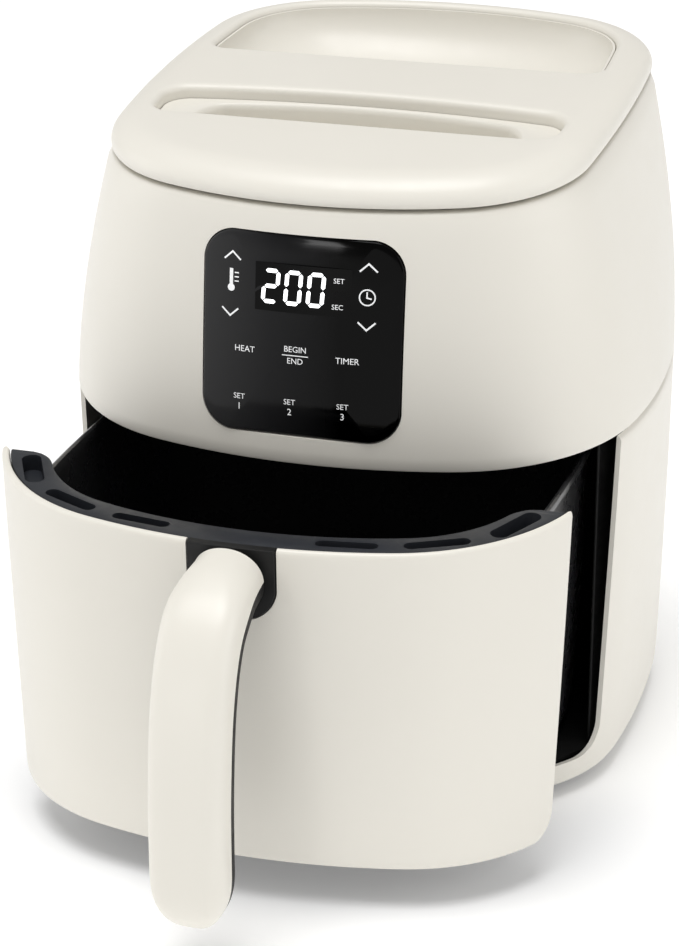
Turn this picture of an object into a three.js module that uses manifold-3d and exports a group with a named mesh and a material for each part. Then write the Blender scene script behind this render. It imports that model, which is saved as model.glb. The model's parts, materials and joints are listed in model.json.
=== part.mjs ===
// A compact drawer air fryer, in millimetres.
//
// +Z is up and the drawer opens towards -Y. The left and right halves mirror each other
// about x = 0. The body is drawn around y = 0 and moved back at the end, so that the origin
// lies on the ground under the middle of the whole fryer. The drawer is drawn shut and then
// pulled out by drawerPulledOut.

import * as THREE from 'three';
import { mergeVertices } from 'three/addons/utils/BufferGeometryUtils.js';
import Module from 'manifold-3d';

const wasm = await Module();
wasm.setup();

// ---------------------------------------------------------------- driving dimensions

const wall = 2.5; // moulded housing wall
const gap = 0.4; // clearance between neighbouring pieces
const drawerPulledOut = 68;
const bodyOffset = 52.2; // from the origin back to the middle of the body

// Horizontal outlines: the body's at three heights, and the pan's rim. Each is widest at
// y = centre, and reaches front and back from there.
const outlineSizes = (width, front, back, centre, endRadius, sideRadius, corner) => (
  { width, front, back, centre, endRadius, sideRadius, corner });
const baseShape = outlineSizes(98, 91.5, 99.7, 4, 203, 420, 60);
const seamShape = outlineSizes(103, 93.6, 106.5, 0, 203, 204, 67);
const lidShape = outlineSizes(84.8, 97.6, 97.6, 10.5, 166, 650, 48);
const panShape = outlineSizes(84.6, 83.5, 85.5, 3, 190, 700, 44);

const baseHeight = 4.1; // underside of the lower housing
const railTop = 14.3; // sill under the drawer
const drawerClearance = 0.8; // round the drawer front when it is shut
const mouthCorner = 11; // lower corners of the drawer's opening
const drawerEdge = -44; // the drawer front ends here and the housing sides begin
const shoulderBulge = 1.53; // above 1 the body narrows late, towards the lid

// The two seams round the body slope up towards the back.
const seamHeight = (y) => 135.5 + 0.077 * y;
const lidHeight = (y) => 226 + 0.1 * y - 0.00027 * y * y;
const lidRise = 9.5; // the lid's top stands this far above its seam

const lidRim = 13; // width of the rim round the lid's openings
const slotFront = -40;
const slotBack = -13.7; // also the front edge of the carrying bar
const barBack = 25.5;
const bowlFloor = 200;

const glassSize = { width: 68, height: 67, corner: 11, middle: 172 };
const trimThickness = 2.6;
const panelTop = (y) => seamHeight(y) - 1; // of the drawer front
const collarTop = (y) => panelTop(y) - 0.8;
const panRim = 122.5;
const panBottom = 16.6;

const axisY = 3; // fan, heater and chamber share this vertical axis
const chamberRadius = 74;
const chamberTop = 161;
const ceiling = 131.4; // of the drawer's cavity
const motorRadius = 22;
const switchPlace = { x: 50, y: -74 }; // the drawer presses the interlock here

// ---------------------------------------------------------------- materials

const plastic = (color, roughness) => new THREE.MeshStandardMaterial({ color, roughness, metalness: 0 });
const metal = (color, roughness) => new THREE.MeshStandardMaterial({ color, roughness, metalness: 1 });

const cream = plastic(0xf0ede4, 0.32);
const blackPlastic = plastic(0x1b1c1e, 0.5);
const trimPlastic = plastic(0x2b2e33, 0.45);
const gloss = plastic(0x08090a, 0.08);
const coating = plastic(0x17181a, 0.3);
const rubber = plastic(0x222222, 0.9);
const board = plastic(0x1d5c38, 0.6);
const ceramic = plastic(0xd8d4c8, 0.6);
const red = plastic(0xb03a2e, 0.5);
const steel = metal(0xb9bcbf, 0.35);
const galvanised = metal(0xa4a8aa, 0.5);
const elementSteel = metal(0x6d6a66, 0.5);
const aluminium = metal(0xc9ccce, 0.4);

// ---------------------------------------------------------------- solids

function toSolid(geometry) {
  const bare = geometry.clone();
  bare.deleteAttribute('normal');
  bare.deleteAttribute('uv');
  const merged = mergeVertices(bare, 1e-4);
  return new wasm.Manifold(new wasm.Mesh({
    numProp: 3,
    vertProperties: merged.attributes.position.array,
    triVerts: new Uint32Array(merged.index.array),
  }));
}

function toGeometry(solid) {
  const mesh = solid.getMesh();
  const geometry = new THREE.BufferGeometry();
  geometry.setAttribute('position', new THREE.BufferAttribute(mesh.vertProperties, 3));
  geometry.setIndex(new THREE.BufferAttribute(mesh.triVerts, 1));
  return geometry;
}

const cut = (geometry, ...tools) => toGeometry(
  tools.reduce((solid, tool) => solid.subtract(toSolid(tool)), toSolid(geometry)));

const join = (geometry, ...others) => toGeometry(
  others.reduce((solid, other) => solid.add(toSolid(other)), toSolid(geometry)));

const common = (geometry, other) => toGeometry(toSolid(geometry).intersect(toSolid(other)));

// ---------------------------------------------------------------- basic shapes

function block([x0, x1], [y0, y1], [z0, z1]) {
  return new THREE.BoxGeometry(x1 - x0, y1 - y0, z1 - z0)
    .translate((x0 + x1) / 2, (y0 + y1) / 2, (z0 + z1) / 2);
}

function post(radius, [z0, z1], x = 0, y = 0, sides = 20) {
  return new THREE.CylinderGeometry(radius, radius, z1 - z0, sides)
    .rotateX(Math.PI / 2)
    .translate(x, y, (z0 + z1) / 2);
}

function pinAlongY(radius, [y0, y1], x, z, sides = 16) {
  return new THREE.CylinderGeometry(radius, radius, y1 - y0, sides).translate(x, (y0 + y1) / 2, z);
}

// Turns a closed profile of [radius, height] corners about the vertical through x, y.
function turned(profile, x = 0, y = 0, sides = 32) {
  const corners = [...profile, profile[0]].map(([radius, height]) => new THREE.Vector2(radius, height));
  return new THREE.LatheGeometry(corners, sides).rotateX(Math.PI / 2).translate(x, y, 0);
}

// Extrudes a shape drawn in the XY plane upwards.
function plate(shape, [z0, z1], curveSegments = 3) {
  return new THREE.ExtrudeGeometry(shape, { depth: z1 - z0, bevelEnabled: false, curveSegments })
    .translate(0, 0, z0);
}

// Extrudes a shape drawn as seen from the front, with x across and z up, through y0 to y1.
function frontPrism(shape, [y0, y1], curveSegments = 3) {
  return new THREE.ExtrudeGeometry(shape, { depth: y1 - y0, bevelEnabled: false, curveSegments })
    .rotateX(Math.PI / 2)
    .translate(0, y1, 0);
}

// Extrudes a shape drawn as seen from the side, with y across and z up, through x0 to x1.
function sidePrism(shape, [x0, x1], curveSegments = 3) {
  const across = new THREE.Vector3(0, 1, 0);
  const up = new THREE.Vector3(0, 0, 1);
  const through = new THREE.Vector3(1, 0, 0);
  return new THREE.ExtrudeGeometry(shape, { depth: x1 - x0, bevelEnabled: false, curveSegments })
    .applyMatrix4(new THREE.Matrix4().makeBasis(across, up, through))
    .translate(x0, 0, 0);
}

function roundedRectangle([x0, x1], [y0, y1], radius) {
  const shape = new THREE.Shape();
  shape.absarc(x1 - radius, y1 - radius, radius, 0, Math.PI / 2);
  shape.absarc(x0 + radius, y1 - radius, radius, Math.PI / 2, Math.PI);
  shape.absarc(x0 + radius, y0 + radius, radius, Math.PI, Math.PI * 1.5);
  shape.absarc(x1 - radius, y0 + radius, radius, Math.PI * 1.5, Math.PI * 2);
  return shape;
}

function rod(points, radius, steps, sides = 8) {
  const path = new THREE.CatmullRomCurve3(points.map((point) => new THREE.Vector3(...point)));
  const circle = new THREE.Shape().absarc(0, 0, radius, 0, Math.PI * 2);
  return new THREE.ExtrudeGeometry(circle, { extrudePath: path, steps, curveSegments: sides });
}

// ---------------------------------------------------------------- outlines and lofts

const sideSteps = 2;
const cornerSteps = 4;
const endSteps = 3;

function arcPoints(centre, radius, from, to, steps) {
  return Array.from({ length: steps }, (_, i) => {
    const angle = THREE.MathUtils.lerp(from, to, i / steps);
    return new THREE.Vector2(centre.x + radius * Math.cos(angle), centre.y + radius * Math.sin(angle));
  });
}

// A quarter of an outline, from the widest point to the middle of the end: a long side
// arc, a corner arc and a shallow end arc, each tangent to the next.
function quarter(width, depth, endRadius, sideRadius, corner) {
  const endCentre = new THREE.Vector2(0, depth - endRadius);
  const sideCentre = new THREE.Vector2(width - sideRadius, 0);
  const toEnd = endRadius - corner;
  const toSide = sideRadius - corner;
  const between = sideCentre.clone().sub(endCentre);
  const along = (toEnd ** 2 - toSide ** 2 + between.lengthSq()) / (2 * between.length());
  const across = Math.sqrt(toEnd ** 2 - along ** 2);
  const direction = between.clone().normalize();
  const cornerCentre = endCentre.clone().addScaledVector(direction, along)
    .add(new THREE.Vector2(direction.y, -direction.x).multiplyScalar(across));
  const sideEnd = cornerCentre.clone().sub(sideCentre).angle();
  const cornerEnd = cornerCentre.clone().sub(endCentre).angle();
  return [
    ...arcPoints(sideCentre, sideRadius, 0, sideEnd, sideSteps),
    ...arcPoints(cornerCentre, corner, sideEnd, cornerEnd, cornerSteps),
    ...arcPoints(endCentre, endRadius, cornerEnd, Math.PI / 2, endSteps),
    new THREE.Vector2(0, depth),
  ];
}

// The closed outline, counterclockwise from the widest point on the right. All its arcs are
// tangent, so taking inset off every size moves the whole outline in by exactly that much.
function outline(shape, inset = 0) {
  const radii = [shape.endRadius - inset, shape.sideRadius - inset, shape.corner - inset];
  const back = quarter(shape.width - inset, shape.back - inset, ...radii);
  const front = quarter(shape.width - inset, shape.front - inset, ...radii);
  const left = (points) => points.map((point) => new THREE.Vector2(-point.x, point.y));
  const down = (points) => points.map((point) => new THREE.Vector2(point.x, -point.y));
  return [
    ...back.slice(0, -1),
    ...left(back).reverse().slice(0, -1),
    ...down(left(front)).slice(0, -1),
    ...down(front).reverse().slice(0, -1),
  ].map((point) => point.add(new THREE.Vector2(0, shape.centre)));
}

function blend(from, to, amount) {
  return Object.fromEntries(Object.keys(from).map(
    (key) => [key, THREE.MathUtils.lerp(from[key], to[key], amount)]));
}

// An outline lifted to a height, which is a number or a function of y.
function ring(shape, inset, height) {
  const heightAt = typeof height === 'function' ? height : () => height;
  return outline(shape, inset).map((point) => new THREE.Vector3(point.x, point.y, heightAt(point.y)));
}

// Skins a stack of rings that all have the same number of points, and closes both ends.
function skin(rings, closeEnd) {
  const count = rings[0].length;
  const positions = rings.flat().flatMap((point) => point.toArray());
  const faces = [];
  for (let level = 0; level + 1 < rings.length; level += 1) {
    for (let i = 0; i < count; i += 1) {
      const next = (i + 1) % count;
      const [a, b] = [level * count + i, level * count + next];
      faces.push(a, b, b + count, a, b + count, a + count);
    }
  }
  const top = (rings.length - 1) * count;
  closeEnd(count).forEach(([a, b, c]) => faces.push(a, c, b, top + a, top + b, top + c));
  const geometry = new THREE.BufferGeometry();
  geometry.setAttribute('position', new THREE.Float32BufferAttribute(positions, 3));
  geometry.setIndex(faces);
  return geometry;
}

// Closes a mirrored outline with strips across it, so the end follows a height that only
// varies with y.
function acrossStrips(count) {
  const back = count / 4;
  const faces = [];
  for (let i = 0; i < count / 2; i += 1) {
    const left = back + i;
    const right = (back - i + count) % count;
    const nextRight = (right - 1 + count) % count;
    faces.push([left, left + 1, i > 0 ? right : nextRight]);
    if (i > 0 && i + 1 < count / 2) faces.push([left + 1, nextRight, right]);
  }
  return faces;
}

// Closes a convex ring with triangles fanned from its first point.
function fanOut(count) {
  return Array.from({ length: count - 2 }, (_, i) => [0, i + 1, i + 2]);
}

const loft = (rings) => skin(rings, acrossStrips);

// The body's outer surface: level 0 is the base, 1 the seam above the drawer, 2 the lid seam.
function bodyRing(level, inset = 0, lift = 0) {
  const upper = Math.max(level - 1, 0);
  const shape = level <= 1
    ? blend(baseShape, seamShape, level)
    : blend(seamShape, lidShape, upper ** shoulderBulge);
  const height = (y) => (level <= 1
    ? THREE.MathUtils.lerp(baseHeight, seamHeight(y), level)
    : THREE.MathUtils.lerp(seamHeight(y), lidHeight(y), upper)) + lift;
  return ring(shape, inset, height);
}

const levels = (from, to, steps) => Array.from(
  { length: steps + 1 }, (_, i) => THREE.MathUtils.lerp(from, to, i / steps));

// The body between two levels, moved in by inset and stretched by extra past both ends.
function bodyLoft(from, to, steps, inset, extra = 0) {
  return loft([
    bodyRing(from, inset, -extra),
    ...levels(from, to, steps).map((level) => bodyRing(level, inset)),
    bodyRing(to, inset, extra),
  ].slice(extra > 0 ? 0 : 1, extra > 0 ? undefined : -1));
}

// ---------------------------------------------------------------- assembly helpers

const airFryer = new THREE.Group();
const body = new THREE.Group();
const drawer = new THREE.Group();
airFryer.add(body);
body.add(drawer);
body.position.y = bodyOffset;
drawer.position.y = -drawerPulledOut;

function piece(group, name, geometry, material) {
  const mesh = new THREE.Mesh(geometry, material);
  mesh.name = name;
  group.add(mesh);
  return mesh;
}

const sides = [['left', -1], ['right', 1]];
const mirrored = ([x0, x1], sx) => (sx > 0 ? [x0, x1] : [-x1, -x0]);
const ends = [['front', -1], ['rear', 1]];

// ---------------------------------------------------------------- housings

const glassOutline = (extra) => roundedRectangle(
  [-glassSize.width / 2 - extra, glassSize.width / 2 + extra],
  [glassSize.middle - glassSize.height / 2 - extra, glassSize.middle + glassSize.height / 2 + extra],
  glassSize.corner + extra);

const ventSize = { width: 76, height: 30, corner: 5, middle: 186 };
const ventOutline = (extra) => roundedRectangle(
  [-ventSize.width / 2 - extra, ventSize.width / 2 + extra],
  [ventSize.middle - ventSize.height / 2 - extra, ventSize.middle + ventSize.height / 2 + extra],
  ventSize.corner + extra);

const glassDepth = 1.6; // the glass reaches this far in from the housing's surface
const lidGap = 1.3; // dark line under the lid
const flange = 4; // ledge round the top of the upper housing
const glandPlace = { x: 58, z: 27, radius: 7.5, hole: 3.4 };

function upperHousing() {
  const outside = bodyLoft(1, 2, 6, 0);
  const trimmed = cut(
    outside,
    loft([ring(lidShape, -20, (y) => lidHeight(y) - lidGap), ring(lidShape, -20, (y) => lidHeight(y) + 20)]),
    loft([ring(seamShape, -20, (y) => seamHeight(y) - 20), ring(seamShape, -20, (y) => seamHeight(y) + gap)]),
  );
  const inside = cut(
    bodyLoft(1, 2, 3, wall, 5),
    loft([
      ring(lidShape, -20, (y) => lidHeight(y) - lidGap - wall),
      ring(lidShape, -20, (y) => lidHeight(y) + 20),
    ]),
  );
  const mouth = loft([
    ring(lidShape, wall + flange, (y) => lidHeight(y) - 10),
    ring(lidShape, wall + flange, (y) => lidHeight(y) + 10),
  ]);
  const window = frontPrism(glassOutline(gap), [-120, -60]);
  const vent = frontPrism(ventOutline(gap), [60, 120]);
  return cut(trimmed, inside, mouth, window, vent);
}
piece(body, 'upper_housing', upperHousing(), cream);

// The drawer's opening seen from the side, with a rounded lower corner, moved in by inset.
function drawerMouth(inset) {
  const edge = drawerEdge + drawerClearance;
  const shape = new THREE.Shape();
  shape.moveTo(-150, railTop + inset);
  shape.lineTo(edge - mouthCorner, railTop + inset);
  shape.absarc(edge - mouthCorner, railTop + mouthCorner, mouthCorner - inset, -Math.PI / 2, 0);
  shape.lineTo(edge - inset, 200);
  shape.lineTo(-150, 200);
  return shape;
}

function lowerHousing() {
  const outside = loft([
    bodyRing(0, 4),
    bodyRing(0.01, 1.6),
    bodyRing(0.035, 0.3),
    bodyRing(0.07),
    bodyRing(0.5),
    bodyRing(0.98),
    bodyRing(1, 0.9, -gap),
  ]);
  const inside = bodyLoft(0, 1, 2, wall, 5);
  const gland = pinAlongY(glandPlace.radius - 1.5 + gap, [80, 130], glandPlace.x, glandPlace.z);
  return cut(outside, inside, sidePrism(drawerMouth(0), [-150, 150], 5), gland);
}
piece(body, 'lower_housing', lowerHousing(), cream);

// ---------------------------------------------------------------- lid and carrying handle

// A band of the lid's inner outline between two values of y, with its cut corners rounded.
function lidBand(inset, y0, y1, radius) {
  const side = outline(lidShape, inset).filter((point) => point.x > 0);
  const widthAt = (y) => {
    const sorted = side.slice().sort((a, b) => a.y - b.y);
    const upper = sorted.findIndex((point) => point.y > y);
    const [a, b] = [sorted[upper - 1], sorted[upper]];
    return THREE.MathUtils.mapLinear(y, a.y, b.y, a.x, b.x);
  };
  const shape = new THREE.Shape();
  const lowWidth = widthAt(y0 + radius);
  shape.absarc(-lowWidth + radius, y0 + radius, radius, Math.PI, Math.PI * 1.5);
  shape.absarc(lowWidth - radius, y0 + radius, radius, Math.PI * 1.5, Math.PI * 2);
  if (y1 === undefined) {
    const rest = outline(lidShape, inset).filter((point) => point.y > y0 + radius + 1);
    rest.sort((a, b) => Math.atan2(a.y - y0, a.x) - Math.atan2(b.y - y0, b.x));
    rest.forEach((point) => shape.lineTo(point.x, point.y));
  } else {
    const highWidth = widthAt(y1 - radius);
    shape.absarc(highWidth - radius, y1 - radius, radius, 0, Math.PI / 2);
    shape.absarc(-highWidth + radius, y1 - radius, radius, Math.PI / 2, Math.PI);
  }
  return shape;
}

const slotBand = (grow) => plate(lidBand(lidRim - grow, slotFront - grow, slotBack + grow, 8), [190, 260], 4);
const recessBand = (grow) => plate(lidBand(lidRim - grow, barBack - grow, undefined, 7), [190, 260], 4);

function lidLoft(inset, drop, bottom) {
  const profile = [[0.8, 0], [0, 2], [1.6, 6], [5.5, 8.5], [12, lidRise]];
  return loft([
    ring(lidShape, profile[0][0] + inset, (y) => lidHeight(y) + bottom),
    ...profile.slice(1).map(([across, up]) => ring(lidShape, across + inset, (y) => lidHeight(y) + up - drop)),
  ]);
}

function topCover() {
  const hollow = cut(lidLoft(wall, wall, -5), slotBand(wall), recessBand(wall));
  return cut(lidLoft(0, 0, 0), hollow, slotBand(0), recessBand(0));
}
piece(body, 'top_cover', topCover(), cream);

// The rounded underside of the carrying bar, clipped up into the bar's channel.
function gripLiner() {
  const y0 = slotBack + wall + gap;
  const y1 = barBack - wall - gap;
  const top = lidHeight(y0) + 4;
  const section = new THREE.Shape();
  section.moveTo(y0, top);
  section.lineTo(y0, top - 7);
  section.quadraticCurveTo(y0 + 2, top - 13, (y0 + y1) / 2, top - 13);
  section.quadraticCurveTo(y1 - 2, top - 13, y1, top - 7);
  section.lineTo(y1, top);
  return sidePrism(section, [-65, 65], 4);
}
piece(body, 'handle_grip_liner', gripLiner(), cream);

// The hand space under the lid. It falls from the rim to a flat floor under the bar.
function handleBowl() {
  const rim = { ...lidShape, width: 76.6, front: 57.5, back: 88.5, corner: 34, endRadius: 150 };
  const floor = { ...rim, width: 58, front: 46, back: 40, centre: 4, corner: 22, endRadius: 140 };
  const bowl = (inset, lift, top) => loft([
    ring(floor, inset + 8, bowlFloor + lift),
    ring(floor, inset + 2, bowlFloor + 2 + lift),
    ring(blend(floor, rim, 0.3), inset, bowlFloor + 8 + lift),
    ring(blend(floor, rim, 0.75), inset, (y) => THREE.MathUtils.lerp(bowlFloor + 8, lidHeight(y), 0.6)),
    ring(rim, inset, (y) => lidHeight(y) - gap + top),
  ]);
  return cut(bowl(0, -1.8, 0), bowl(1.8, 0, 3));
}
piece(body, 'handle_bowl', handleBowl(), cream);

// ---------------------------------------------------------------- base and feet

const footTop = 4.7;
const plateBottom = 5;
const plateTop = 8;
const footPlaces = sides.flatMap(([side, sx]) => ends.map(
  ([end, sy]) => ({ name: `${end}_${side}`, x: 66 * sx, y: 8 + 62 * sy })));

const basePlateHole = 2;
piece(body, 'base_plate', cut(
  loft([
    ring(baseShape, wall + 4, plateBottom),
    ring(baseShape, wall + gap, 6.5),
    ring(baseShape, wall + gap, plateTop),
  ]),
  ...footPlaces.map(({ x, y }) => post(basePlateHole, [0, 20], x, y, 12)),
), blackPlastic);

for (const { name, x, y } of footPlaces) {
  const pad = turned([
    [0, 1.2], [3.6, 1.2], [3.6, 0], [8.6, 0], [9.2, 0.6], [9.2, footTop - 0.6], [8.6, footTop], [0, footTop],
  ], x, y, 12);
  piece(body, `foot_${name}`, cut(pad, post(basePlateHole, [-1, 20], x, y, 12)), rubber);
  const screw = join(
    post(basePlateHole - 0.3, [2, plateTop + 1], x, y, 12),
    post(basePlateHole + 1, [plateTop + 0.3, plateTop + 2], x, y, 12),
  );
  piece(body, `foot_screw_${name}`, screw, steel);
}

// ---------------------------------------------------------------- drawer cavity

const linerInset = wall + 1.4;
const linerWall = 1.2;
const linerFloor = 12.6;

// A black sheet-metal box, open to the front: a floor, a wall bent round three sides and a
// ceiling with a round hole for the hot air.
function cavityWall() {
  const height = [linerFloor + linerWall + gap, ceiling - gap];
  return cut(
    loft(height.map((z) => ring(baseShape, linerInset, z))),
    loft([height[0] - 5, height[1] + 5].map((z) => ring(baseShape, linerInset + linerWall, z))),
    block([-200, 200], [-200, drawerEdge + 3], [0, 200]),
  );
}
piece(body, 'cavity_wall', cavityWall(), blackPlastic);

piece(body, 'cavity_floor', loft([
  ring(baseShape, linerInset, linerFloor),
  ring(baseShape, linerInset, linerFloor + linerWall),
]), blackPlastic);

piece(body, 'cavity_ceiling', cut(
  loft([ring(baseShape, linerInset, ceiling), ring(baseShape, linerInset, ceiling + linerWall)]),
  post(chamberRadius - 1, [ceiling - 5, ceiling + 10], 0, axisY, 48),
  post(3.4, [ceiling - 5, ceiling + 10], switchPlace.x, switchPlace.y, 12),
), blackPlastic);

for (const [side, sx] of sides) {
  const runner = block(mirrored([56, 66], sx), [-66, 78], [linerFloor + linerWall + 0.3, panBottom - 0.3]);
  piece(body, `${side}_runner`, runner, steel);
}

// ---------------------------------------------------------------- hot air chamber

const chamberBottom = ceiling + linerWall + 0.3;
const dome = (radius, bottom, top, thickness, bore, foot) => turned([
  [radius, bottom],
  [radius, top - 6],
  [radius - 6, top],
  [bore, top],
  [bore, top + thickness],
  [radius - 5.5, top + thickness],
  [radius + thickness, top - 5.5],
  [radius + thickness, bottom + thickness],
  [radius + foot, bottom + thickness],
  [radius + foot, bottom],
].reverse(), 0, axisY, 22);

const elementHeight = 139;
const elementRadius = 3.2;
const terminalX = 24;
const probePlace = { x: -58, y: axisY - 18 };
const boltCircle = 15;
const boltPlaces = sides.map(([side, sx]) => ({ side, x: boltCircle * sx, y: axisY }));
const terminalHoles = sides.map(([, sx]) => post(4.6, [150, 180], terminalX * sx, axisY + 56, 12));

piece(body, 'heating_chamber', cut(
  dome(chamberRadius, chamberBottom, chamberTop, 1, 7, 3),
  ...terminalHoles,
  post(3.2, [150, 170], probePlace.x, probePlace.y, 12),
), galvanised);

piece(body, 'heat_shield', cut(
  dome(chamberRadius + 5, chamberBottom, chamberTop + 4, 0.8, 30, 3),
  ...terminalHoles,
  post(3.6, [150, 180], probePlace.x, probePlace.y, 12),
), aluminium);

// A spiral tube under the fan, with both ends turned up through the chamber roof.
function heatingElement() {
  const turns = 2;
  const [outer, inner] = [66, 34];
  const steps = 24;
  const spiral = Array.from({ length: steps * turns + 1 }, (_, i) => {
    const angle = Math.PI / 2 - (i / steps) * 2 * Math.PI;
    const radius = THREE.MathUtils.lerp(outer, inner, i / (steps * turns));
    return [radius * Math.cos(angle), axisY + radius * Math.sin(angle), elementHeight];
  });
  const start = [
    [terminalX, axisY + 56, 172],
    [terminalX, axisY + 56, 150],
    [terminalX - 4, axisY + 60, elementHeight + 2],
  ];
  const end = [
    [-12, axisY + 42, elementHeight + 2],
    [-terminalX, axisY + 52, 147],
    [-terminalX, axisY + 56, 156],
    [-terminalX, axisY + 56, 172],
  ];
  return rod([...start, ...spiral.slice(1, -1), ...end], elementRadius, 64, 3);
}
piece(body, 'heating_element', heatingElement(), elementSteel);

// Each clip hangs from the chamber's wall and reaches under the coil.
for (const [side, sx] of sides) {
  const outer = chamberRadius - 1.1;
  const top = elementHeight - elementRadius - 0.3;
  const upright = block(mirrored([outer - 1.4, outer], sx), [axisY - 6, axisY + 6], [top - 1.3, 146]);
  const shelf = block(mirrored([28, outer], sx), [axisY - 6, axisY + 6], [top - 1.3, top]);
  piece(body, `element_clip_${side}`, join(upright, shelf), steel);
}

piece(body, 'temperature_probe', join(
  post(2.2, [148, chamberTop + 3], probePlace.x, probePlace.y, 12),
  post(5, [chamberTop + 6, chamberTop + 9], probePlace.x, probePlace.y, 12),
  post(2.2, [chamberTop + 2, chamberTop + 7], probePlace.x, probePlace.y, 12),
), steel);

// ---------------------------------------------------------------- motor and fans

const motorBottom = 170;
const motorTop = 184;
const shaftRadius = 3;

piece(body, 'motor_bracket', cut(
  join(
    block([-28, 28], [axisY - 9, axisY + 9], [motorBottom - 2.6, motorBottom - 0.6]),
    block([-28, -26.5], [axisY - 9, axisY + 9], [chamberTop + 1.4, motorBottom - 1]),
    block([26.5, 28], [axisY - 9, axisY + 9], [chamberTop + 1.4, motorBottom - 1]),
  ),
  post(6, [160, 180], 0, axisY, 16),
  ...boltPlaces.map(({ x, y }) => post(1.9, [160, 180], x, y, 12)),
), steel);

piece(body, 'motor', cut(
  post(motorRadius, [motorBottom, motorTop], 0, axisY, 28),
  post(shaftRadius + gap, [160, 200], 0, axisY, 16),
  ...boltPlaces.map(({ x, y }) => post(1.9, [160, motorBottom + 6], x, y, 12)),
), galvanised);

for (const { side, x, y } of boltPlaces) {
  piece(body, `motor_screw_${side}`, join(
    post(1.6, [motorBottom - 3.5, motorBottom + 5], x, y, 12),
    post(2.9, [motorBottom - 4.6, motorBottom - 2.9], x, y, 12),
  ), steel);
}

const spindle = new THREE.Group();
body.add(spindle);
spindle.position.y = axisY;

piece(spindle, 'motor_shaft', join(post(shaftRadius, [146, 196]), post(2, [142.5, 147])), steel);

function fanWheel([z0, z1], hubRadius, tipRadius, count, thickness) {
  const hub = post(hubRadius, [z0, z1], 0, 0, 20);
  const disc = post(tipRadius, [z1 - 0.9, z1], 0, 0, 32);
  const blade = () => block([hubRadius - 1, tipRadius - 1], [-thickness / 2, thickness / 2], [z0, z1 - 0.4]);
  const blades = Array.from({ length: count }, (_, i) => blade().rotateZ((i / count) * 2 * Math.PI));
  return cut(join(hub, disc, ...blades), post(shaftRadius + 0.3, [z0 - 5, z1 + 5], 0, 0, 16));
}
piece(spindle, 'convection_fan', fanWheel([147.5, 157], 8, 52, 10, 1), aluminium);
piece(spindle, 'cooling_fan', fanWheel([186, 193], 7, 30, 7, 1.2), blackPlastic);
piece(spindle, 'fan_nut', cut(
  post(4.5, [143.3, 145.7], 0, 0, 6),
  post(2.3, [140, 150], 0, 0, 12),
), steel);

// ---------------------------------------------------------------- electrics

const shelfTop = chamberTop + 8;
piece(body, 'power_board', block([-32, 32], [88, 89.6], [shelfTop - 26, shelfTop + 30]), board);
piece(body, 'thermal_fuse', block(
  [36, 50], [axisY - 30, axisY - 22], [chamberTop + 5.2, chamberTop + 10],
), ceramic);

const leanAngle = 0.07;
function behindGlass([x0, x1], depth, [z0, z1]) {
  return block([x0, x1], [-depth, 0], [z0 - glassSize.middle, z1 - glassSize.middle])
    .rotateX(-leanAngle);
}
function placeBehindGlass(mesh, y) {
  mesh.position.set(0, y, glassSize.middle);
}
placeBehindGlass(piece(body, 'control_board', behindGlass([-30, 30], 1.6, [142, 202]), board), -82);
placeBehindGlass(piece(body, 'display_module', behindGlass([-18, 18], 3.6, [176, 200]), blackPlastic), -84);

piece(body, 'control_glass', common(
  frontPrism(glassOutline(0), [-120, -60], 4),
  cut(bodyLoft(1, 2, 6, -0.8), bodyLoft(1, 2, 6, glassDepth, 5)),
), gloss);

piece(body, 'interlock_switch', cut(
  block(
    [switchPlace.x - 7, switchPlace.x + 7],
    [switchPlace.y - 4, switchPlace.y + 4],
    [ceiling + linerWall + 0.3, ceiling + 14],
  ),
  post(2.5, [ceiling, ceiling + 9], switchPlace.x, switchPlace.y, 12),
), blackPlastic);
// The plunger's tip waits just over the shut drawer's collar.
const plungerTip = collarTop(switchPlace.y) + 0.5;
piece(body, 'interlock_plunger', post(
  2, [plungerTip, plungerTip + 7.5], switchPlace.x, switchPlace.y, 12,
), red);

// ---------------------------------------------------------------- back of the body

function rearGrille() {
  const insert = common(
    frontPrism(ventOutline(0), [60, 120]),
    cut(bodyLoft(1, 2, 6, 0.2), bodyLoft(1, 2, 4, wall, 6)),
  );
  const louvres = [-1.5, -0.5, 0.5, 1.5].map((row) => {
    const z = ventSize.middle + row * 6;
    return frontPrism(roundedRectangle([-31, 31], [z - 1.3, z + 1.3], 1.1), [60, 120], 1);
  });
  return cut(insert, ...louvres);
}
piece(body, 'rear_vent_grille', rearGrille(), blackPlastic);

function cordGland() {
  const { x, z, radius, hole } = glandPlace;
  return cut(
    join(pinAlongY(radius - 1.5, [94, 106.5], x, z, 20), pinAlongY(radius, [103.8, 107], x, z, 20)),
    pinAlongY(hole, [80, 130], x, z, 14),
  );
}
piece(body, 'cord_gland', cordGland(), rubber);

// ---------------------------------------------------------------- drawer

const frontBottom = railTop + drawerClearance;
const bracketSize = { width: 29, depth: 25, corner: 12 };
const bracketOutline = (extra) => {
  const top = panelTop(-94);
  return roundedRectangle(
    [-bracketSize.width / 2 - extra, bracketSize.width / 2 + extra],
    [top - bracketSize.depth - extra, top + bracketSize.depth], bracketSize.corner + extra);
};

function drawerFront() {
  const bottomLevel = (frontBottom - baseHeight) / (seamHeight(-90) - baseHeight);
  const outside = loft([
    bodyRing(bottomLevel, 0.8),
    bodyRing(bottomLevel + 0.008),
    bodyRing(0.5),
    bodyRing(1, 0, -1.9),
    bodyRing(1, 0.8, -1),
  ]);
  return cut(
    common(outside, sidePrism(drawerMouth(drawerClearance), [-150, 150], 5)),
    bodyLoft(0, 1, 2, wall, 5),
    frontPrism(bracketOutline(gap), [-150, -60]),
  );
}
piece(drawer, 'drawer_front', drawerFront(), cream);

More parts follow.
